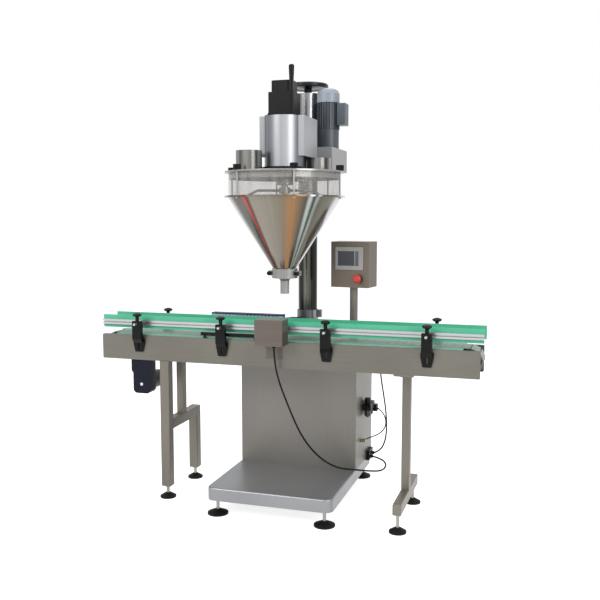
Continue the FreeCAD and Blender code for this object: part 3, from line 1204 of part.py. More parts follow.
def control_box():
    x = BOX_POST_X
    y = BOX_POST_Y
    top = BOX_BOTTOM_Z - MOVE_GAP
    half_foot = BOX_POST_FOOT / 2
    foot = box(x - half_foot, x + half_foot, y - half_foot, y + half_foot,
               CABINET_TOP_Z, CABINET_TOP_Z + BOX_POST_FOOT_HEIGHT)
    tube = rod(BOX_POST_R, top - CABINET_TOP_Z, (x, y, CABINET_TOP_Z))
    tube = tube.cut(rod(BOX_POST_R - BOX_POST_WALL, top - CABINET_TOP_Z - BOX_POST_R,
                        (x, y, CABINET_TOP_Z)))
    pin = rod(SPIGOT_PIN_R, SPIGOT_PIN_LENGTH, (x, y, top))
    save("control_post", joined(tube, foot, pin))

    left = x - BOX_WIDTH / 2
    right = x + BOX_WIDTH / 2
    front = y - BOX_DEPTH / 2
    back = y + BOX_DEPTH / 2
    high = BOX_BOTTOM_Z + BOX_HEIGHT
    wall = BOX_WALL
    case = rounded_box(left, right, front, back, BOX_BOTTOM_Z, high, BOX_EDGE_R, ACROSS)
    case = case.cut(box(left + wall, right - wall, front + wall, back, BOX_BOTTOM_Z + wall, high - wall))
    cup = rod(SPIGOT_CUP_R, SPIGOT_PIN_LENGTH + wall, (x, y, BOX_BOTTOM_Z))
    case = joined(case, cup).cut(rod(SPIGOT_PIN_R + RUN_FIT, SPIGOT_PIN_LENGTH, (x, y, BOX_BOTTOM_Z)))
    lid = box(left + wall, right - wall, back - wall, back, BOX_BOTTOM_Z + wall, high - wall)
    stop_x = right - ESTOP_RIGHT
    stop_z = BOX_BOTTOM_Z + ESTOP_RISE
    ring = pipe(ESTOP_RING_R, ESTOP_STEM_R + RUN_FIT, ESTOP_RING_HEIGHT,
                (stop_x, front - ESTOP_RING_HEIGHT, stop_z), ACROSS)
    case = case.cut(rod(ESTOP_STEM_R + RUN_FIT, wall, (stop_x, front, stop_z), ACROSS))
    save("control_box", turn_box(case), turn_box(lid), turn_box(ring))

    bezel_x = left + BEZEL_LEFT
    bezel_z = high - BEZEL_TOP
    bezel = rounded_box(bezel_x, bezel_x + BEZEL_WIDTH, front - BEZEL_DEPTH, front,
                        bezel_z - BEZEL_HEIGHT, bezel_z, BOX_EDGE_R, ACROSS)
    screen_x = bezel_x + SCREEN_LEFT
    screen_z = bezel_z - SCREEN_TOP
    window = box(screen_x, screen_x + SCREEN_WIDTH, front - BEZEL_DEPTH,
                 front - BEZEL_DEPTH + 2 * SCREEN_SINK, screen_z - SCREEN_HEIGHT, screen_z)
    screen = box(screen_x, screen_x + SCREEN_WIDTH, front - BEZEL_DEPTH + SCREEN_SINK,
                 front - BEZEL_DEPTH + 2 * SCREEN_SINK, screen_z - SCREEN_HEIGHT, screen_z)
    save("touch_panel", turn_box(bezel.cut(window)), turn_box(screen))

    back_y = front - ESTOP_RING_HEIGHT - ESTOP_TRAVEL_GAP
    cap_y = back_y - ESTOP_HEIGHT
    profile = [
        (0, cap_y), (ESTOP_R - ESTOP_HEIGHT / 2, cap_y),
        (ESTOP_R - ESTOP_HEIGHT / 8, cap_y + ESTOP_HEIGHT / 4),
        (ESTOP_R, cap_y + ESTOP_HEIGHT / 2), (ESTOP_R, back_y), (ESTOP_STEM_R, back_y),
        (ESTOP_STEM_R, front + wall), (0, front + wall),
    ]
    points = [V(stop_x + r, yy, stop_z) for r, yy in profile]
    face = Part.Face(Part.makePolygon(points + points[:1]))
    save("estop_button", turn_box(face.revolve(V(stop_x, 0, stop_z), ACROSS, 360)))


# ================================================================ air supply
def air_unit():
    x0 = CABINET_SIDE_X + AIR_PLATE
    x1 = x0 + AIR_DEPTH
    y0 = AIR_Y
    y1 = y0 + 2 * AIR_BODY + AIR_BODY_GAP
    low = AIR_BODY_BOTTOM_Z
    high = low + AIR_BODY_HEIGHT
    middle_x = (x0 + x1) / 2
    middle_z = (low + high) / 2
    plate = box(CABINET_SIDE_X, x0, y0, y1, low, high)
    link = box(x0, x1 - AIR_BODY_GAP, y0 + AIR_BODY, y1 - AIR_BODY, low + AIR_BODY_GAP / 2,
               high - AIR_BODY_GAP / 2)
    bodies = [box(x0, x1, y, y + AIR_BODY, low, high) for y in (y0, y1 - AIR_BODY)]
    inlet = rod(AIR_PORT_R, AIR_PORT_LENGTH, (middle_x, y0 - AIR_PORT_LENGTH, middle_z), ACROSS)
    bore = rod(AIR_PORT_BORE_R, AIR_BORE_DEPTH, (middle_x, y0 - AIR_PORT_LENGTH, middle_z), ACROSS)
    outlet_x = AIR_ROUTE[0][0] - OUTLET_DEPTH
    outlet_z = AIR_ROUTE[0][2] - OUTLET_HEIGHT / 3
    outlet = box(outlet_x, outlet_x + OUTLET_DEPTH, y1, y1 + OUTLET_WIDTH, outlet_z, outlet_z + OUTLET_HEIGHT)
    stem = rod(AIR_KNOB_R / 2, AIR_PLATE, (middle_x, y0 + AIR_BODY / 2, high))
    save("air_filter", joined(plate, link, *bodies, inlet, outlet, stem).cut(bore))
    bowls = [
        turned([(0, low - AIR_BOWL_HEIGHT), (AIR_BOWL_R / 2, low - AIR_BOWL_HEIGHT),
                (AIR_BOWL_R, low - AIR_BOWL_HEIGHT + AIR_BOWL_R / 2), (AIR_BOWL_R, low), (0, low)],
               middle_x, y + AIR_BODY / 2)
        for y in (y0, y1 - AIR_BODY)
    ]
    save("air_filter_bowls", *bowls)
    knob_z = high + MOVE_GAP
    knob = rod(AIR_KNOB_R, AIR_KNOB_HEIGHT, (middle_x, y0 + AIR_BODY / 2, knob_z))
    knob = knob.cut(rod(AIR_KNOB_R / 2 + RUN_FIT, AIR_PLATE, (middle_x, y0 + AIR_BODY / 2, knob_z)))
    save("air_knob", knob)


def glands():
    """The fittings that the hoses meet."""
    pieces = []
    x, y, z = SIGNAL_ROUTE[0]
    pieces.append(rod(GLAND_R, GLAND_LENGTH, (x, y, z)))
    manifold_x = CABINET_SIDE_X + MANIFOLD_DEPTH
    block = box(CABINET_SIDE_X, manifold_x, MANIFOLD_FRONT_Y, MANIFOLD_FRONT_Y + MANIFOLD_LENGTH,
                MANIFOLD_BOTTOM_Z, MANIFOLD_BOTTOM_Z + MANIFOLD_HEIGHT)
    nuts = []
    for route in (SIGNAL_ROUTE, POWER_ROUTE):
        end = route[-1]
        nuts.append(rod(GLAND_R, end[0] - manifold_x, (manifold_x, end[1], end[2]), ALONG))
    pieces.append(joined(block, *nuts))
    x, y, z = POWER_ROUTE[0]
    pieces.append(rod(GLAND_R, x - CABINET_SIDE_X, (CABINET_SIDE_X, y, z), ALONG))
    x, y, z = AIR_ROUTE[-1]
    foot = rod(GLAND_R, x + GLAND_R - CABINET_SIDE_X, (CABINET_SIDE_X, y - GLAND_LENGTH - GLAND_R, z), ALONG)
    mouth = rod(GLAND_R * 2 / 3, GLAND_LENGTH + GLAND_R, (x, y - GLAND_LENGTH - GLAND_R, z), ACROSS)
    pieces.append(joined(foot, mouth))
    half = ELBOW_SIZE / 2
    pieces.append(box(ELBOW_X - half, ELBOW_X + half, ELBOW_Y, ELBOW_Y + ELBOW_SIZE,
                      CABINET_TOP_Z, CABINET_TOP_Z + ELBOW_HEIGHT))
    save("hose_glands", *pieces)


def hoses():
    save("signal_hose", hose(SIGNAL_ROUTE, SIGNAL_HOSE_R, "signal hose"))
    save("power_hose", hose(POWER_ROUTE, POWER_HOSE_R, "power hose"))
    save("air_hose", hose(AIR_ROUTE, AIR_HOSE_R, "air hose"))
    save("wiring_conduit", hose(CONDUIT_ROUTE, CONDUIT_R, "wiring conduit"))


os.makedirs("parts", exist_ok=True)
for make in (
    base_platform, cabinet, levelling_feet, conveyor_sides, conveyor_cross_members, wear_strips,
    slat_chain, shafts, guide_rails, conveyor_fittings, wiring_duct, gear_motor, leg_frames, column,
    head_structure, head_drive, stir_motor, hopper_lid, hopper_window, hopper_cone, tie_rods,
    neck_clamp, nozzle, auger, agitator, handwheel, control_box, air_unit, glands, hoses,
):
    make()
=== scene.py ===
import math

import bpy
from mathutils import Matrix, Vector


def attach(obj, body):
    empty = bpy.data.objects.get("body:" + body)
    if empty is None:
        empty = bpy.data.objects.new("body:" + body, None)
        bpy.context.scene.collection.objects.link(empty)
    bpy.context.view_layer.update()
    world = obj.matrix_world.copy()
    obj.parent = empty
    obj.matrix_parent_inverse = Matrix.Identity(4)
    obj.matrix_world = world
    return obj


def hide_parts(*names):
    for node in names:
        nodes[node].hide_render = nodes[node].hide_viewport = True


# Auger powder filler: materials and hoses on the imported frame.
# Metres. +Z is up, +X runs along the conveyor and -Y faces the operator.

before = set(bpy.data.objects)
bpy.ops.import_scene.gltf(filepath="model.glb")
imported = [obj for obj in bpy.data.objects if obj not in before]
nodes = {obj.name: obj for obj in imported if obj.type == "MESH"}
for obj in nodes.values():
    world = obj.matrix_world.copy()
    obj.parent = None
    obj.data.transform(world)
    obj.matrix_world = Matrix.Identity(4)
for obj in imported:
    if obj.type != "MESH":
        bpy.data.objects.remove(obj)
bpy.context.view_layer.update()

FLOOR_HALF = 40.0

# Places on the frame, as (x, y) or one coordinate.
AXIS = (0.0, -0.145)          # filling axis
COLUMN = (0.0, 0.241)         # column axis
PORTS = {"left": (-0.138, -0.258), "right": (0.135, -0.032)}
PORT_REACH = 0.066
LID_SURFACE_Z = 1.636
PLATE_TOP_Z = 1.6549          # top of the black plate under the drive barrel
CLAMP_KNOB_Y = -0.1625        # the neck clamp's knobs stand in front of this
CLAMP_KNOB_X = 0.06
STOP_RING_X = 0.32            # the emergency stop's ring on the control box
STOP_RING_REACH = 0.024
STOP_RING_Y = 0.032
STOP_RING_Z = 1.14
DUCT_COVER_Z = 0.9199
COWL_Z = 1.9951               # bottom of the agitator motor's cowl
TERMINAL_X = 0.179            # left side of its terminal box
BRASS_ELBOW_X = 0.3
BRASS_ELBOW_Y = 0.25
MOTOR_HUB_Y = -0.2401

# The control box turns about its post. The screen is measured with the box square.
BOX_PIVOT = Vector((0.289, 0.082, 0.0))
BOX_TURN = math.radians(8)
SCREEN_X = (0.2275, 0.3365)
SCREEN_Y = (0.0195, 0.0215)
SCREEN_Z = (1.1805, 1.2515)
SCREEN_LOW = (0.219, 0.0, 1.180)
SCREEN_HIGH = (0.328, 0.0, 1.252)

# The part of a noise's range that its values fill.
NOISE_LOW = 0.3
NOISE_HIGH = 0.7

FLOOR_GLOW = 0.78
FLOOR_TONE = 0.62
DAYLIGHT = 0.55


WHITE = (1.0, 1.0, 1.0, 1.0)
DISPLAY_MAX = 255


def tone(red, green, blue):
    """A linear colour from its 0 to 255 display values."""
    def linear(value):
        share = value / DISPLAY_MAX
        return share / 12.92 if share <= 0.04045 else ((share + 0.055) / 1.055) ** 2.4
    return (linear(red), linear(green), linear(blue), 1.0)


def scaled(colour, factor):
    """A colour made darker or lighter."""
    return tuple(min(1.0, part * factor) for part in colour[:3]) + (1.0,)


# ---------------------------------------------------------------- camera
CAMERA_PLACE = (1.233, -3.833, 1.420)
CAMERA_YAW = 17.4
CAMERA_PITCH = 5.9
CAMERA_LENS = 48.3


def make_camera():
    data = bpy.data.cameras.new("camera")
    data.lens = CAMERA_LENS
    data.sensor_width = 36
    data.clip_end = 100
    camera = bpy.data.objects.new("camera", data)
    camera.location = CAMERA_PLACE
    camera.rotation_euler = (math.radians(90 - CAMERA_PITCH), 0, math.radians(CAMERA_YAW))
    bpy.context.scene.collection.objects.link(camera)
    bpy.context.scene.camera = camera


# ---------------------------------------------------------------- materials
class Recipe:
    """A node material in the making: a Principled shader and what feeds it."""

    def __init__(self, name, metallic, roughness, **sockets):
        self.material = bpy.data.materials.new(name)
        self.material.use_nodes = True
        self.tree = self.material.node_tree
        self.shader = self.tree.nodes["Principled BSDF"]
        self.shader.inputs["Metallic"].default_value = metallic
        self.shader.inputs["Roughness"].default_value = roughness
        for socket, value in sockets.items():
            self.shader.inputs[socket.replace("_", " ")].default_value = value
        self.place = self.add("ShaderNodeTexCoord").outputs["Object"]

    def add(self, kind, inputs=None, **settings):
        """Adds a node. An input is a number or colour, or a socket to link."""
        node = self.tree.nodes.new(kind)
        for key, value in settings.items():
            setattr(node, key, value)
        for key, value in (inputs or {}).items():
            if isinstance(value, bpy.types.NodeSocket):
                self.tree.links.new(value, node.inputs[key])
            else:
                node.inputs[key].default_value = value
        return node

    def feed(self, socket, value):
        self.tree.links.new(value, self.shader.inputs[socket])

    def noise(self, scale, detail=3.0, vector=None):
        """Noise over the object's own space, stretched by a scale along each axis."""
        source = self.place if vector is None else vector
        mapped = self.add("ShaderNodeMapping", {"Vector": source, "Scale": scale}).outputs["Vector"]
        return self.add("ShaderNodeTexNoise", {"Vector": mapped, "Scale": 1.0, "Detail": detail}).outputs[0]

    def math(self, operation, first, second):
        return self.add("ShaderNodeMath", {0: first, 1: second}, operation=operation).outputs[0]

    def spread(self, value, low, high, to_low, to_high):
        return self.add("ShaderNodeMapRange", {
            "Value": value, "From Min": low, "From Max": high, "To Min": to_low, "To Max": to_high,
        }).outputs[0]

    def ramp(self, factor, stops):
        node = self.add("ShaderNodeValToRGB", {"Fac": factor})
        elements = node.color_ramp.elements
        while len(elements) < len(stops):
            elements.new(0.5)
        for element, (position, colour) in zip(elements, stops):
            element.position = position
            element.color = colour
        return node.outputs["Color"]

    def product(self, first, second):
        """Two colours multiplied."""
        node = self.add("ShaderNodeMix", data_type="RGBA", blend_type="MULTIPLY")
        node.inputs["Factor"].default_value = 1.0
        for colours, value in zip(("A", "B"), (first, second)):
            socket = [each for each in node.inputs if each.name == colours and each.type == "RGBA"][0]
            self.tree.links.new(value, socket)
        return [each for each in node.outputs if each.type == "RGBA"][0]

    def bump(self, height, strength, distance):
        node = self.add("ShaderNodeBump", {"Height": height, "Strength": strength, "Distance": distance})
        self.feed("Normal", node.outputs["Normal"])


GRAIN_SHARE = 0.45
GRAIN = {"x": (5.0, 420.0, 420.0), "y": (420.0, 5.0, 420.0), "z": (420.0, 420.0, 5.0)}


def brushed(name, colour, along, contrast=0.10, roughness=0.42, metallic=0.75, reflection_cloud=2.2):
    """Brushed steel: real fine grain along one axis, over slow cloudy changes of tone painted in as soft
    reflections.
    """
    recipe = Recipe(name, metallic, roughness)
    grain = recipe.noise(GRAIN[along], 2.0)
    # Painted soft reflections: slow cloudy light and dark patches mixed into the steel's colour.
    slow = recipe.noise((reflection_cloud, reflection_cloud, reflection_cloud), 1.5)
    fine_part = recipe.math("MULTIPLY", grain, GRAIN_SHARE)
    reflection_part = recipe.math("MULTIPLY", slow, 1 - GRAIN_SHARE)
    recipe.feed("Base Color", recipe.ramp(recipe.math("ADD", fine_part, reflection_part), [
        (NOISE_LOW, scaled(colour, 1 - 2 * contrast)), (NOISE_HIGH, scaled(colour, 1 + 2 * contrast)),
    ]))
    recipe.feed("Roughness", recipe.spread(grain, NOISE_LOW, NOISE_HIGH, roughness - 0.06, roughness + 0.08))
    recipe.bump(grain, 0.12, 0.0006)
    return recipe.material


def painted_reflection_bands(name, stops, centre, roughness=0.24, metallic=0.8, fine=0.16):
    """Turned and polished metal with painted reflections: light and dark bands of the surroundings painted
    into the colour round the axis, with fine streaks along it.
    Each stop is an angle in degrees about the axis and the painted reflection colour there."""
    recipe = Recipe(name, metallic, roughness)
    offset = recipe.add("ShaderNodeVectorMath", {0: recipe.place, 1: (*centre, 0.0)}, operation="SUBTRACT")
    parts = recipe.add("ShaderNodeSeparateXYZ", {0: offset.outputs[0]}).outputs
    angle = recipe.math("ARCTAN2", parts[1], parts[0])
    share = recipe.spread(angle, -math.pi, math.pi, 0.0, 1.0)
    # The painted reflections: a colour ramp over the angle round the axis.
    base = recipe.ramp(share, [((degrees + 180) / 360, colour) for degrees, colour in stops])
    around = recipe.add("ShaderNodeCombineXYZ", {0: share, 1: parts[2]}).outputs[0]
    streak = recipe.noise((160.0, 1.5, 1.0), 3.0, around)
    shade = recipe.ramp(streak, [(NOISE_LOW, scaled(WHITE, 1 - fine)), (NOISE_HIGH, WHITE)])
    recipe.feed("Base Color", recipe.product(base, shade))
    recipe.feed("Roughness", recipe.spread(streak, NOISE_LOW, NOISE_HIGH, roughness - 0.04, roughness + 0.06))
    return recipe.material


def moulded(name, colour, roughness=0.5, contrast=0.12, pores=900.0, depth=0.0003, metallic=0.0, **sockets):
    """Paint, plastic or rubber: slow tone changes and a fine textured skin."""
    recipe = Recipe(name, metallic, roughness, **sockets)
    slow = recipe.noise((9.0, 9.0, 9.0), 4.0)
    skin = recipe.noise((pores, pores, pores), 2.0)
    recipe.feed("Base Color", recipe.ramp(slow, [
        (NOISE_LOW, scaled(colour, 1 - contrast)), (NOISE_HIGH, scaled(colour, 1 + contrast)),
    ]))
    recipe.feed("Roughness", recipe.spread(slow, NOISE_LOW, NOISE_HIGH, roughness - 0.06, roughness + 0.06))
    recipe.bump(skin, 0.25, depth)
    return recipe.material


def clear_plastic(name):
    """The hopper's clear ring, a little milky where it has been wiped."""
    recipe = Recipe(name, 0.0, 0.06, IOR=1.49)
    haze = recipe.noise((30.0, 30.0, 4.0), 4.0)
    recipe.feed("Base Color", recipe.ramp(haze, [
        (NOISE_LOW, tone(150, 148, 142)), (NOISE_HIGH, tone(186, 184, 178)),
    ]))
    recipe.feed("Alpha", recipe.spread(haze, NOISE_LOW, NOISE_HIGH, 0.16, 0.26))
    return recipe.material


def screen_glass(name, low, high):
    """The panel's screen: dark blue-grey with one lighter column of keys at its right side."""
    recipe = Recipe(name, 0.0, 0.18)
    turned = recipe.add("ShaderNodeSeparateXYZ", {0: recipe.place}).outputs
    across = recipe.spread(turned[0], low[0], high[0], 0.0, 1.0)
    up = recipe.spread(turned[2], low[2], high[2], 0.0, 1.0)
    dark = tone(46, 49, 56)
    side = tone(88, 91, 97)
    light = tone(150, 152, 156)
    columns = recipe.ramp(across, [
        (0.0, dark), (0.79, tone(54, 57, 64)), (0.80, light), (0.83, light), (0.84, side), (1.0, side)])
    rows = recipe.ramp(up, [(0.0, scaled(WHITE, 0.8)), (0.9, WHITE), (1.0, scaled(WHITE, 0.9))])
    recipe.feed("Base Color", recipe.product(columns, rows))
    return recipe.material


def dress(material, *names):
    """Gives whole CAD nodes a material."""
    for name in names:
        mesh = nodes[name].data
        mesh.materials.clear()
        mesh.materials.append(material)


def dress_part(material, name, inside):
    """Gives a material to the faces of a node whose middle meets a test."""
    mesh = nodes[name].data
    mesh.materials.append(material)
    for face in mesh.polygons:
        if inside(face.center):
            face.material_index = len(mesh.materials) - 1


def on_screen(place):
    """Whether a face of the touch panel is its screen, seen square to the turned box."""
    square = Matrix.Rotation(BOX_TURN, 3, "Z") @ (place - BOX_PIVOT) + BOX_PIVOT
    ranges = (SCREEN_X, SCREEN_Y, SCREEN_Z)
    return all(low < part < high for part, (low, high) in zip(square, ranges))


# ---------------------------------------------------------------- hoses
# The same routes as the CAD solids: control points of one smooth curve each.
HOSES = {
    "signal_hose": (0.0045, 1.257, "hanging", [
        (-0.005, -0.295, 0.806), (-0.004, -0.289, 0.735), (0.008, -0.262, 0.640), (0.028, -0.220, 0.545),
        (0.052, -0.181, 0.450), (0.080, -0.146, 0.360), (0.120, -0.108, 0.280), (0.172, -0.072, 0.215),
        (0.238, -0.032, 0.168), (0.312, 0.022, 0.150), (0.372, 0.092, 0.128), (0.412, 0.166, 0.108),
        (0.428, 0.236, 0.104), (0.420, 0.296, 0.112), (0.386, 0.330, 0.124), (0.340, 0.334, 0.132)]),
    "power_hose": (0.004, 0.681, "hanging", [
        (0.322, 0.300, 0.770), (0.352, 0.303, 0.756), (0.370, 0.311, 0.712), (0.376, 0.322, 0.640),
        (0.382, 0.330, 0.560), (0.396, 0.337, 0.470), (0.407, 0.346, 0.380), (0.411, 0.354, 0.290),
        (0.402, 0.360, 0.215), (0.376, 0.366, 0.160), (0.340, 0.368, 0.142)]),
    "air_hose": (0.003, 0.271, "hanging", [
        (0.368, 0.322, 0.403), (0.390, 0.322, 0.385), (0.408, 0.319, 0.358), (0.415, 0.312, 0.326),
        (0.408, 0.300, 0.296), (0.386, 0.284, 0.275), (0.357, 0.262, 0.263), (0.334, 0.232, 0.259),
        (0.325, 0.198, 0.260)]),
    "wiring_conduit": (0.008, 0.218, "hanging", [
        (-0.060, 0.020, 0.903), (-0.024, 0.024, 0.906), (0.006, 0.046, 0.906), (0.016, 0.082, 0.901),
        (0.008, 0.119, 0.892), (-0.016, 0.146, 0.882), (-0.045, 0.163, 0.876)]),
}


def make_hose(node, material, radius, route):
    curve = bpy.data.curves.new(node + "_curve", "CURVE")
    curve.dimensions = "3D"
    curve.resolution_u = 10
    curve.bevel_depth = radius
    curve.bevel_resolution = 3
    curve.use_fill_caps = True
    spline = curve.splines.new("NURBS")
    spline.points.add(len(route) - 1)
    for point, place in zip(spline.points, route):
        point.co = (*place, 1.0)
    spline.order_u = 3
    spline.use_endpoint_u = True
    spline.use_smooth = True
    curve.materials.append(material)
    piece = bpy.data.objects.new(node + "_run", curve)
    bpy.context.scene.collection.objects.link(piece)
    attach(piece, "root")
    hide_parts(node)


# ---------------------------------------------------------------- stage
def seen_directly(tree):
    """1 for rays that show the backdrop: from the camera, or by way of metal or glass."""
    path = tree.nodes.new("ShaderNodeLightPath")
    value = path.outputs["Is Camera Ray"]
    for ray in ("Is Glossy Ray", "Is Transmission Ray"):
        larger = tree.nodes.new("ShaderNodeMath")
        larger.operation = "MAXIMUM"
        tree.links.new(value, larger.inputs[0])
        tree.links.new(path.outputs[ray], larger.inputs[1])
        value = larger.outputs[0]
    return value


def make_floor():
    """A white floor that keeps the object's shadow."""
    half = FLOOR_HALF
    corners = [(-half, -half, 0), (half, -half, 0), (half, half, 0), (-half, half, 0)]
    mesh = bpy.data.meshes.new("floor")
    mesh.from_pydata(corners, [], [(0, 1, 2, 3)])
    floor = bpy.data.objects.new("floor", mesh)
    bpy.context.scene.collection.objects.link(floor)
    material = bpy.data.materials.new("floor_white")
    material.use_nodes = True
    tree = material.node_tree
    tree.nodes.clear()
    strength = tree.nodes.new("ShaderNodeMath")
    strength.operation = "MULTIPLY"
    strength.inputs[1].default_value = FLOOR_GLOW
    tree.links.new(seen_directly(tree), strength.inputs[0])
    glow = tree.nodes.new("ShaderNodeEmission")
    tree.links.new(strength.outputs[0], glow.inputs["Strength"])
    matt = tree.nodes.new("ShaderNodeBsdfDiffuse")
    matt.inputs["Color"].default_value = (FLOOR_TONE, FLOOR_TONE, FLOOR_TONE, 1)
    both = tree.nodes.new("ShaderNodeAddShader")
    tree.links.new(glow.outputs[0], both.inputs[0])
    tree.links.new(matt.outputs[0], both.inputs[1])
    out = tree.nodes.new("ShaderNodeOutputMaterial")
    tree.links.new(both.outputs[0], out.inputs["Surface"])
    mesh.materials.append(material)


def make_world():
    """Even daylight on the object, before a white backdrop."""
    world = bpy.data.worlds.new("studio")
    bpy.context.scene.world = world
    world.use_nodes = True
    tree = world.node_tree
    back = tree.nodes["Background"]
    back.inputs["Color"].default_value = WHITE
    level = tree.nodes.new("ShaderNodeMapRange")
    level.inputs["To Min"].default_value = DAYLIGHT
    level.inputs["To Max"].default_value = 1.0
    tree.links.new(seen_directly(tree), level.inputs["Value"])
    tree.links.new(level.outputs[0], back.inputs["Strength"])


def make_lamp(name, place, aim, size, power):
    data = bpy.data.lights.new(name, "AREA")
    data.size = size
    data.energy = power
    lamp = bpy.data.objects.new(name, data)
    lamp.location = place
    lamp.rotation_euler = (Vector(aim) - Vector(place)).to_track_quat("-Z", "Y").to_euler()
    bpy.context.scene.collection.objects.link(lamp)


# ---------------------------------------------------------------- build
bpy.context.scene.view_settings.view_transform = "Standard"
make_camera()

hose_black = moulded("hose_black", tone(18, 18, 19), roughness=0.45, Specular_IOR_Level=0.15)
for node, (radius, length, lay, route) in HOSES.items():
    make_hose(node, hose_black, radius, route)

STEEL = tone(122, 119, 113)
WARM_STEEL = tone(110, 105, 98)
dress(brushed("steel_cabinet", tone(120, 117, 112), "z", contrast=0.08),
      "cabinet_shell", "cabinet_rear_panel")
dress(brushed("steel_base", tone(138, 139, 142), "y", contrast=0.06, roughness=0.36), "base_platform")
dress(brushed("steel_conveyor", tone(108, 105, 98), "x", contrast=0.10), "conveyor_side_plates")
dress(brushed("steel_sensor", tone(98, 90, 84), "x", contrast=0.08), "sensor_box")
dress(brushed("steel_legs", tone(114, 110, 102), "z"), "leg_frames", "leg_brackets")
dress(brushed("steel_cross", STEEL, "y"), "conveyor_cross_members", "shaft_bearings")
dress(brushed("steel_rails", tone(176, 178, 180), "x", contrast=0.06, roughness=0.28),
      "front_rail", "rear_rail")
dress(brushed("steel_small", tone(150, 149, 146), "z", roughness=0.3), "tie_rods", "auger", "agitator",
      "levelling_studs", "drive_shaft", "idler_shaft")
dress(brushed("steel_panel", tone(102, 94, 84), "z", contrast=0.06), "control_box")
dress(brushed("steel_post", WARM_STEEL, "z"), "control_post")

# Painted reflections on the hopper cone: bright, dark and red bands of the surroundings painted round its
# axis.
dress(painted_reflection_bands("cone_painted_reflections", [
    (-180, tone(120, 118, 114)), (-146, tone(168, 168, 168)), (-134, tone(60, 58, 54)),
    (-118, tone(108, 103, 96)), (-115, tone(190, 60, 52)), (-112, tone(60, 40, 36)),
    (-108, tone(140, 134, 124)), (-84, tone(128, 122, 112)), (-74, tone(122, 110, 92)),
    (-63, tone(150, 108, 66)), (-56, tone(116, 98, 78)), (-49, tone(70, 66, 58)),
    (-44, tone(226, 230, 228)), (-41, tone(40, 38, 34)), (-38, tone(212, 214, 212)),
    (-34, tone(96, 92, 82)), (-14, tone(104, 100, 88)), (-4, tone(206, 204, 210)),
    (30, tone(150, 148, 144)), (62, tone(70, 68, 64)), (80, tone(150, 144, 134)),
    (120, tone(118, 114, 106)), (132, tone(210, 210, 208)), (140, tone(80, 76, 70)),
    (180, tone(120, 118, 114)),
], AXIS, roughness=0.16, metallic=0.6), "hopper_cone")
# Painted reflections round the drive barrel: soft light and dark bands in its colour.
dress(painted_reflection_bands("barrel_painted_reflections", [
    (-180, tone(104, 104, 108)), (-150, tone(122, 123, 128)), (-120, tone(120, 121, 127)),
    (-92, tone(150, 151, 156)), (-72, tone(176, 176, 180)), (-56, tone(150, 151, 156)),
    (-38, tone(126, 127, 133)), (0, tone(112, 112, 118)), (60, tone(160, 160, 164)),
    (120, tone(110, 110, 116)), (180, tone(104, 104, 108)),
], AXIS, roughness=0.34, fine=0.06), "drive_barrel")
# Painted reflections round the column sleeve and collar: light and dark bands in their colour.
dress(painted_reflection_bands("sleeve_painted_reflections", [
    (-180, tone(120, 120, 120)), (-140, tone(92, 90, 88)), (-108, tone(128, 127, 126)),
    (-96, tone(98, 98, 98)), (-70, tone(160, 160, 162)), (-45, tone(130, 130, 134)),
    (-12, tone(176, 176, 180)), (20, tone(90, 90, 90)), (100, tone(150, 150, 150)),
    (180, tone(120, 120, 120)),
], COLUMN, roughness=0.22), "column_sleeve", "column_collar")
# Painted reflections round the column tube: dark and light bands in its colour.
dress(painted_reflection_bands("column_painted_reflections", [
    (-180, tone(70, 70, 68)), (-150, tone(110, 108, 100)), (-132, tone(40, 40, 40)),
    (-104, tone(52, 52, 50)), (-92, tone(118, 118, 110)), (-70, tone(96, 96, 90)),
    (-52, tone(74, 74, 68)), (-38, tone(34, 34, 32)), (-6, tone(44, 44, 42)),
    (8, tone(120, 120, 116)), (60, tone(60, 60, 58)), (110, tone(130, 130, 126)),
    (180, tone(70, 70, 68)),
], COLUMN, roughness=0.18), "column_tube")
dress(brushed("steel_lid", tone(146, 145, 142), "x", contrast=0.12, roughness=0.26), "hopper_lid")
dress(brushed("steel_clamp", tone(138, 139, 137), "z", contrast=0.08, roughness=0.3), "neck_clamp", "nozzle")
for name, port in PORTS.items():
    # Painted reflections round each lid port: light and dark bands in its colour.
    material = painted_reflection_bands("port_" + name, [
        (-180, tone(120, 119, 116)), (-150, tone(70, 68, 64)), (-125, tone(140, 140, 138)),
        (-110, tone(90, 88, 84)), (-80, tone(150, 150, 148)), (-60, tone(110, 109, 106)),
        (-35, tone(60, 58, 56)), (-12, tone(150, 150, 150)), (60, tone(100, 100, 100)),
        (180, tone(120, 119, 116)),
    ], port, roughness=0.2)
    dress_part(material, "hopper_lid", lambda c, p=port: (
        c.z > LID_SURFACE_Z and math.hypot(c.x - p[0], c.y - p[1]) < PORT_REACH))

dress(moulded("case_grey", tone(158, 160, 163), roughness=0.42, contrast=0.04), "drive_housing")
dress(moulded("arm_grey", tone(142, 142, 144), roughness=0.42, contrast=0.04), "arm_box")
dress(moulded("servo_black", tone(14, 14, 15), roughness=0.38, Specular_IOR_Level=0.15, metallic=0.2),
      "servo_motor")
dress(moulded("motor_blue_grey", tone(66, 73, 82), roughness=0.4, contrast=0.08), "agitator_motor")
dress(moulded("motor_navy", tone(14, 19, 32), roughness=0.35, Specular_IOR_Level=0.15), "gear_motor")
dress(moulded("knob_black", tone(12, 12, 13), roughness=0.34, Specular_IOR_Level=0.15),
      "lid_knobs", "handwheel_grip", "rail_brackets", "stop_bar", "air_knob", "air_filter",
      *[name for name in nodes if name.startswith("rail_knob_")])
dress(moulded("wheel_black", tone(30, 31, 36), roughness=0.26, Specular_IOR_Level=0.15), "handwheel")
dress(moulded("pad_rubber", tone(16, 16, 16), roughness=0.55, Specular_IOR_Level=0.15), "levelling_pads")
dress(moulded("bowl_smoke", tone(58, 30, 30), roughness=0.2), "air_filter_bowls")
dress(moulded("guide_green", tone(72, 168, 132), roughness=0.4, contrast=0.06),
      "front_rail_strip", "rear_rail_strip")
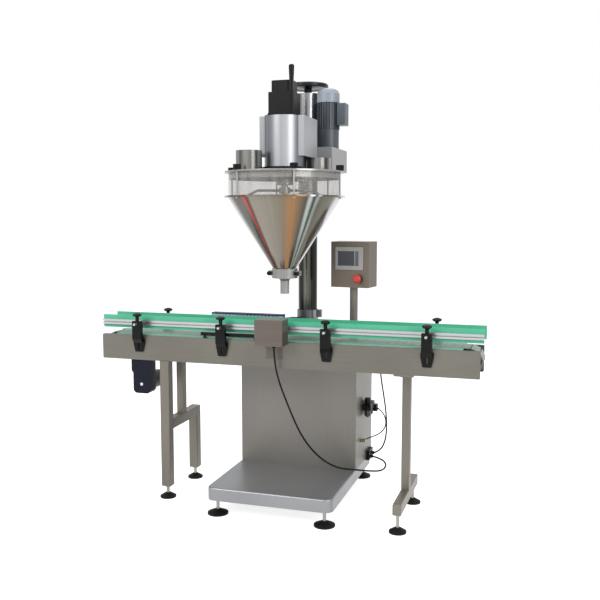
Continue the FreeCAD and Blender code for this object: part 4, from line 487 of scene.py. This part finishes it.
dress(moulded("wear_green", tone(118, 160, 144), roughness=0.45, contrast=0.06), "wear_strips")
dress(moulded("chain_grey", tone(122, 132, 126), roughness=0.42, contrast=0.08), "slat_chain")
dress(moulded("duct_grey", tone(150, 158, 176), roughness=0.5), "wiring_duct")
dress(moulded("gland_black", tone(16, 16, 17), roughness=0.4, Specular_IOR_Level=0.15), "hose_glands")
dress(moulded("stop_red", tone(186, 52, 46), roughness=0.32), "estop_button")
dress(moulded("bezel_grey", tone(150, 148, 146), roughness=0.4, contrast=0.04), "touch_panel")
dress(clear_plastic("ring_clear"), "hopper_window")

black_part = moulded("part_black", tone(12, 12, 13), roughness=0.36, Specular_IOR_Level=0.15)
dress_part(black_part, "drive_barrel", lambda c: c.z < PLATE_TOP_Z)
dress_part(black_part, "neck_clamp", lambda c: c.y < CLAMP_KNOB_Y and abs(c.x) > CLAMP_KNOB_X)
dress_part(black_part, "control_box", lambda c: (
    c.z < STOP_RING_Z and c.y < STOP_RING_Y and abs(c.x - STOP_RING_X) < STOP_RING_REACH))
dress_part(moulded("duct_navy", tone(34, 42, 74), roughness=0.42, Specular_IOR_Level=0.15),
           "wiring_duct", lambda c: c.z > DUCT_COVER_Z)
dress_part(moulded("cowl_grey", tone(136, 146, 156), roughness=0.4, contrast=0.05), "agitator_motor",
           lambda c: c.z > COWL_Z and c.x < TERMINAL_X)
dress_part(brushed("elbow_brass", tone(150, 140, 108), "y", roughness=0.3), "hose_glands",
           lambda c: c.y < BRASS_ELBOW_Y and c.x > BRASS_ELBOW_X)
dress_part(brushed("hub_pale", tone(190, 192, 190), "z"), "gear_motor", lambda c: c.y < MOTOR_HUB_Y)
dress_part(screen_glass("screen_dark", SCREEN_LOW, SCREEN_HIGH), "touch_panel", on_screen)

make_floor()
make_world()
make_lamp("key", (-3.0, -5.0, 4.5), (0, 0, 1.0), 3.0, 260)
make_lamp("fill", (4.5, -3.0, 3.0), (0, 0, 1.0), 3.0, 150)
make_lamp("top", (0, 1.0, 6.0), (0, 0, 1.0), 4.0, 160)
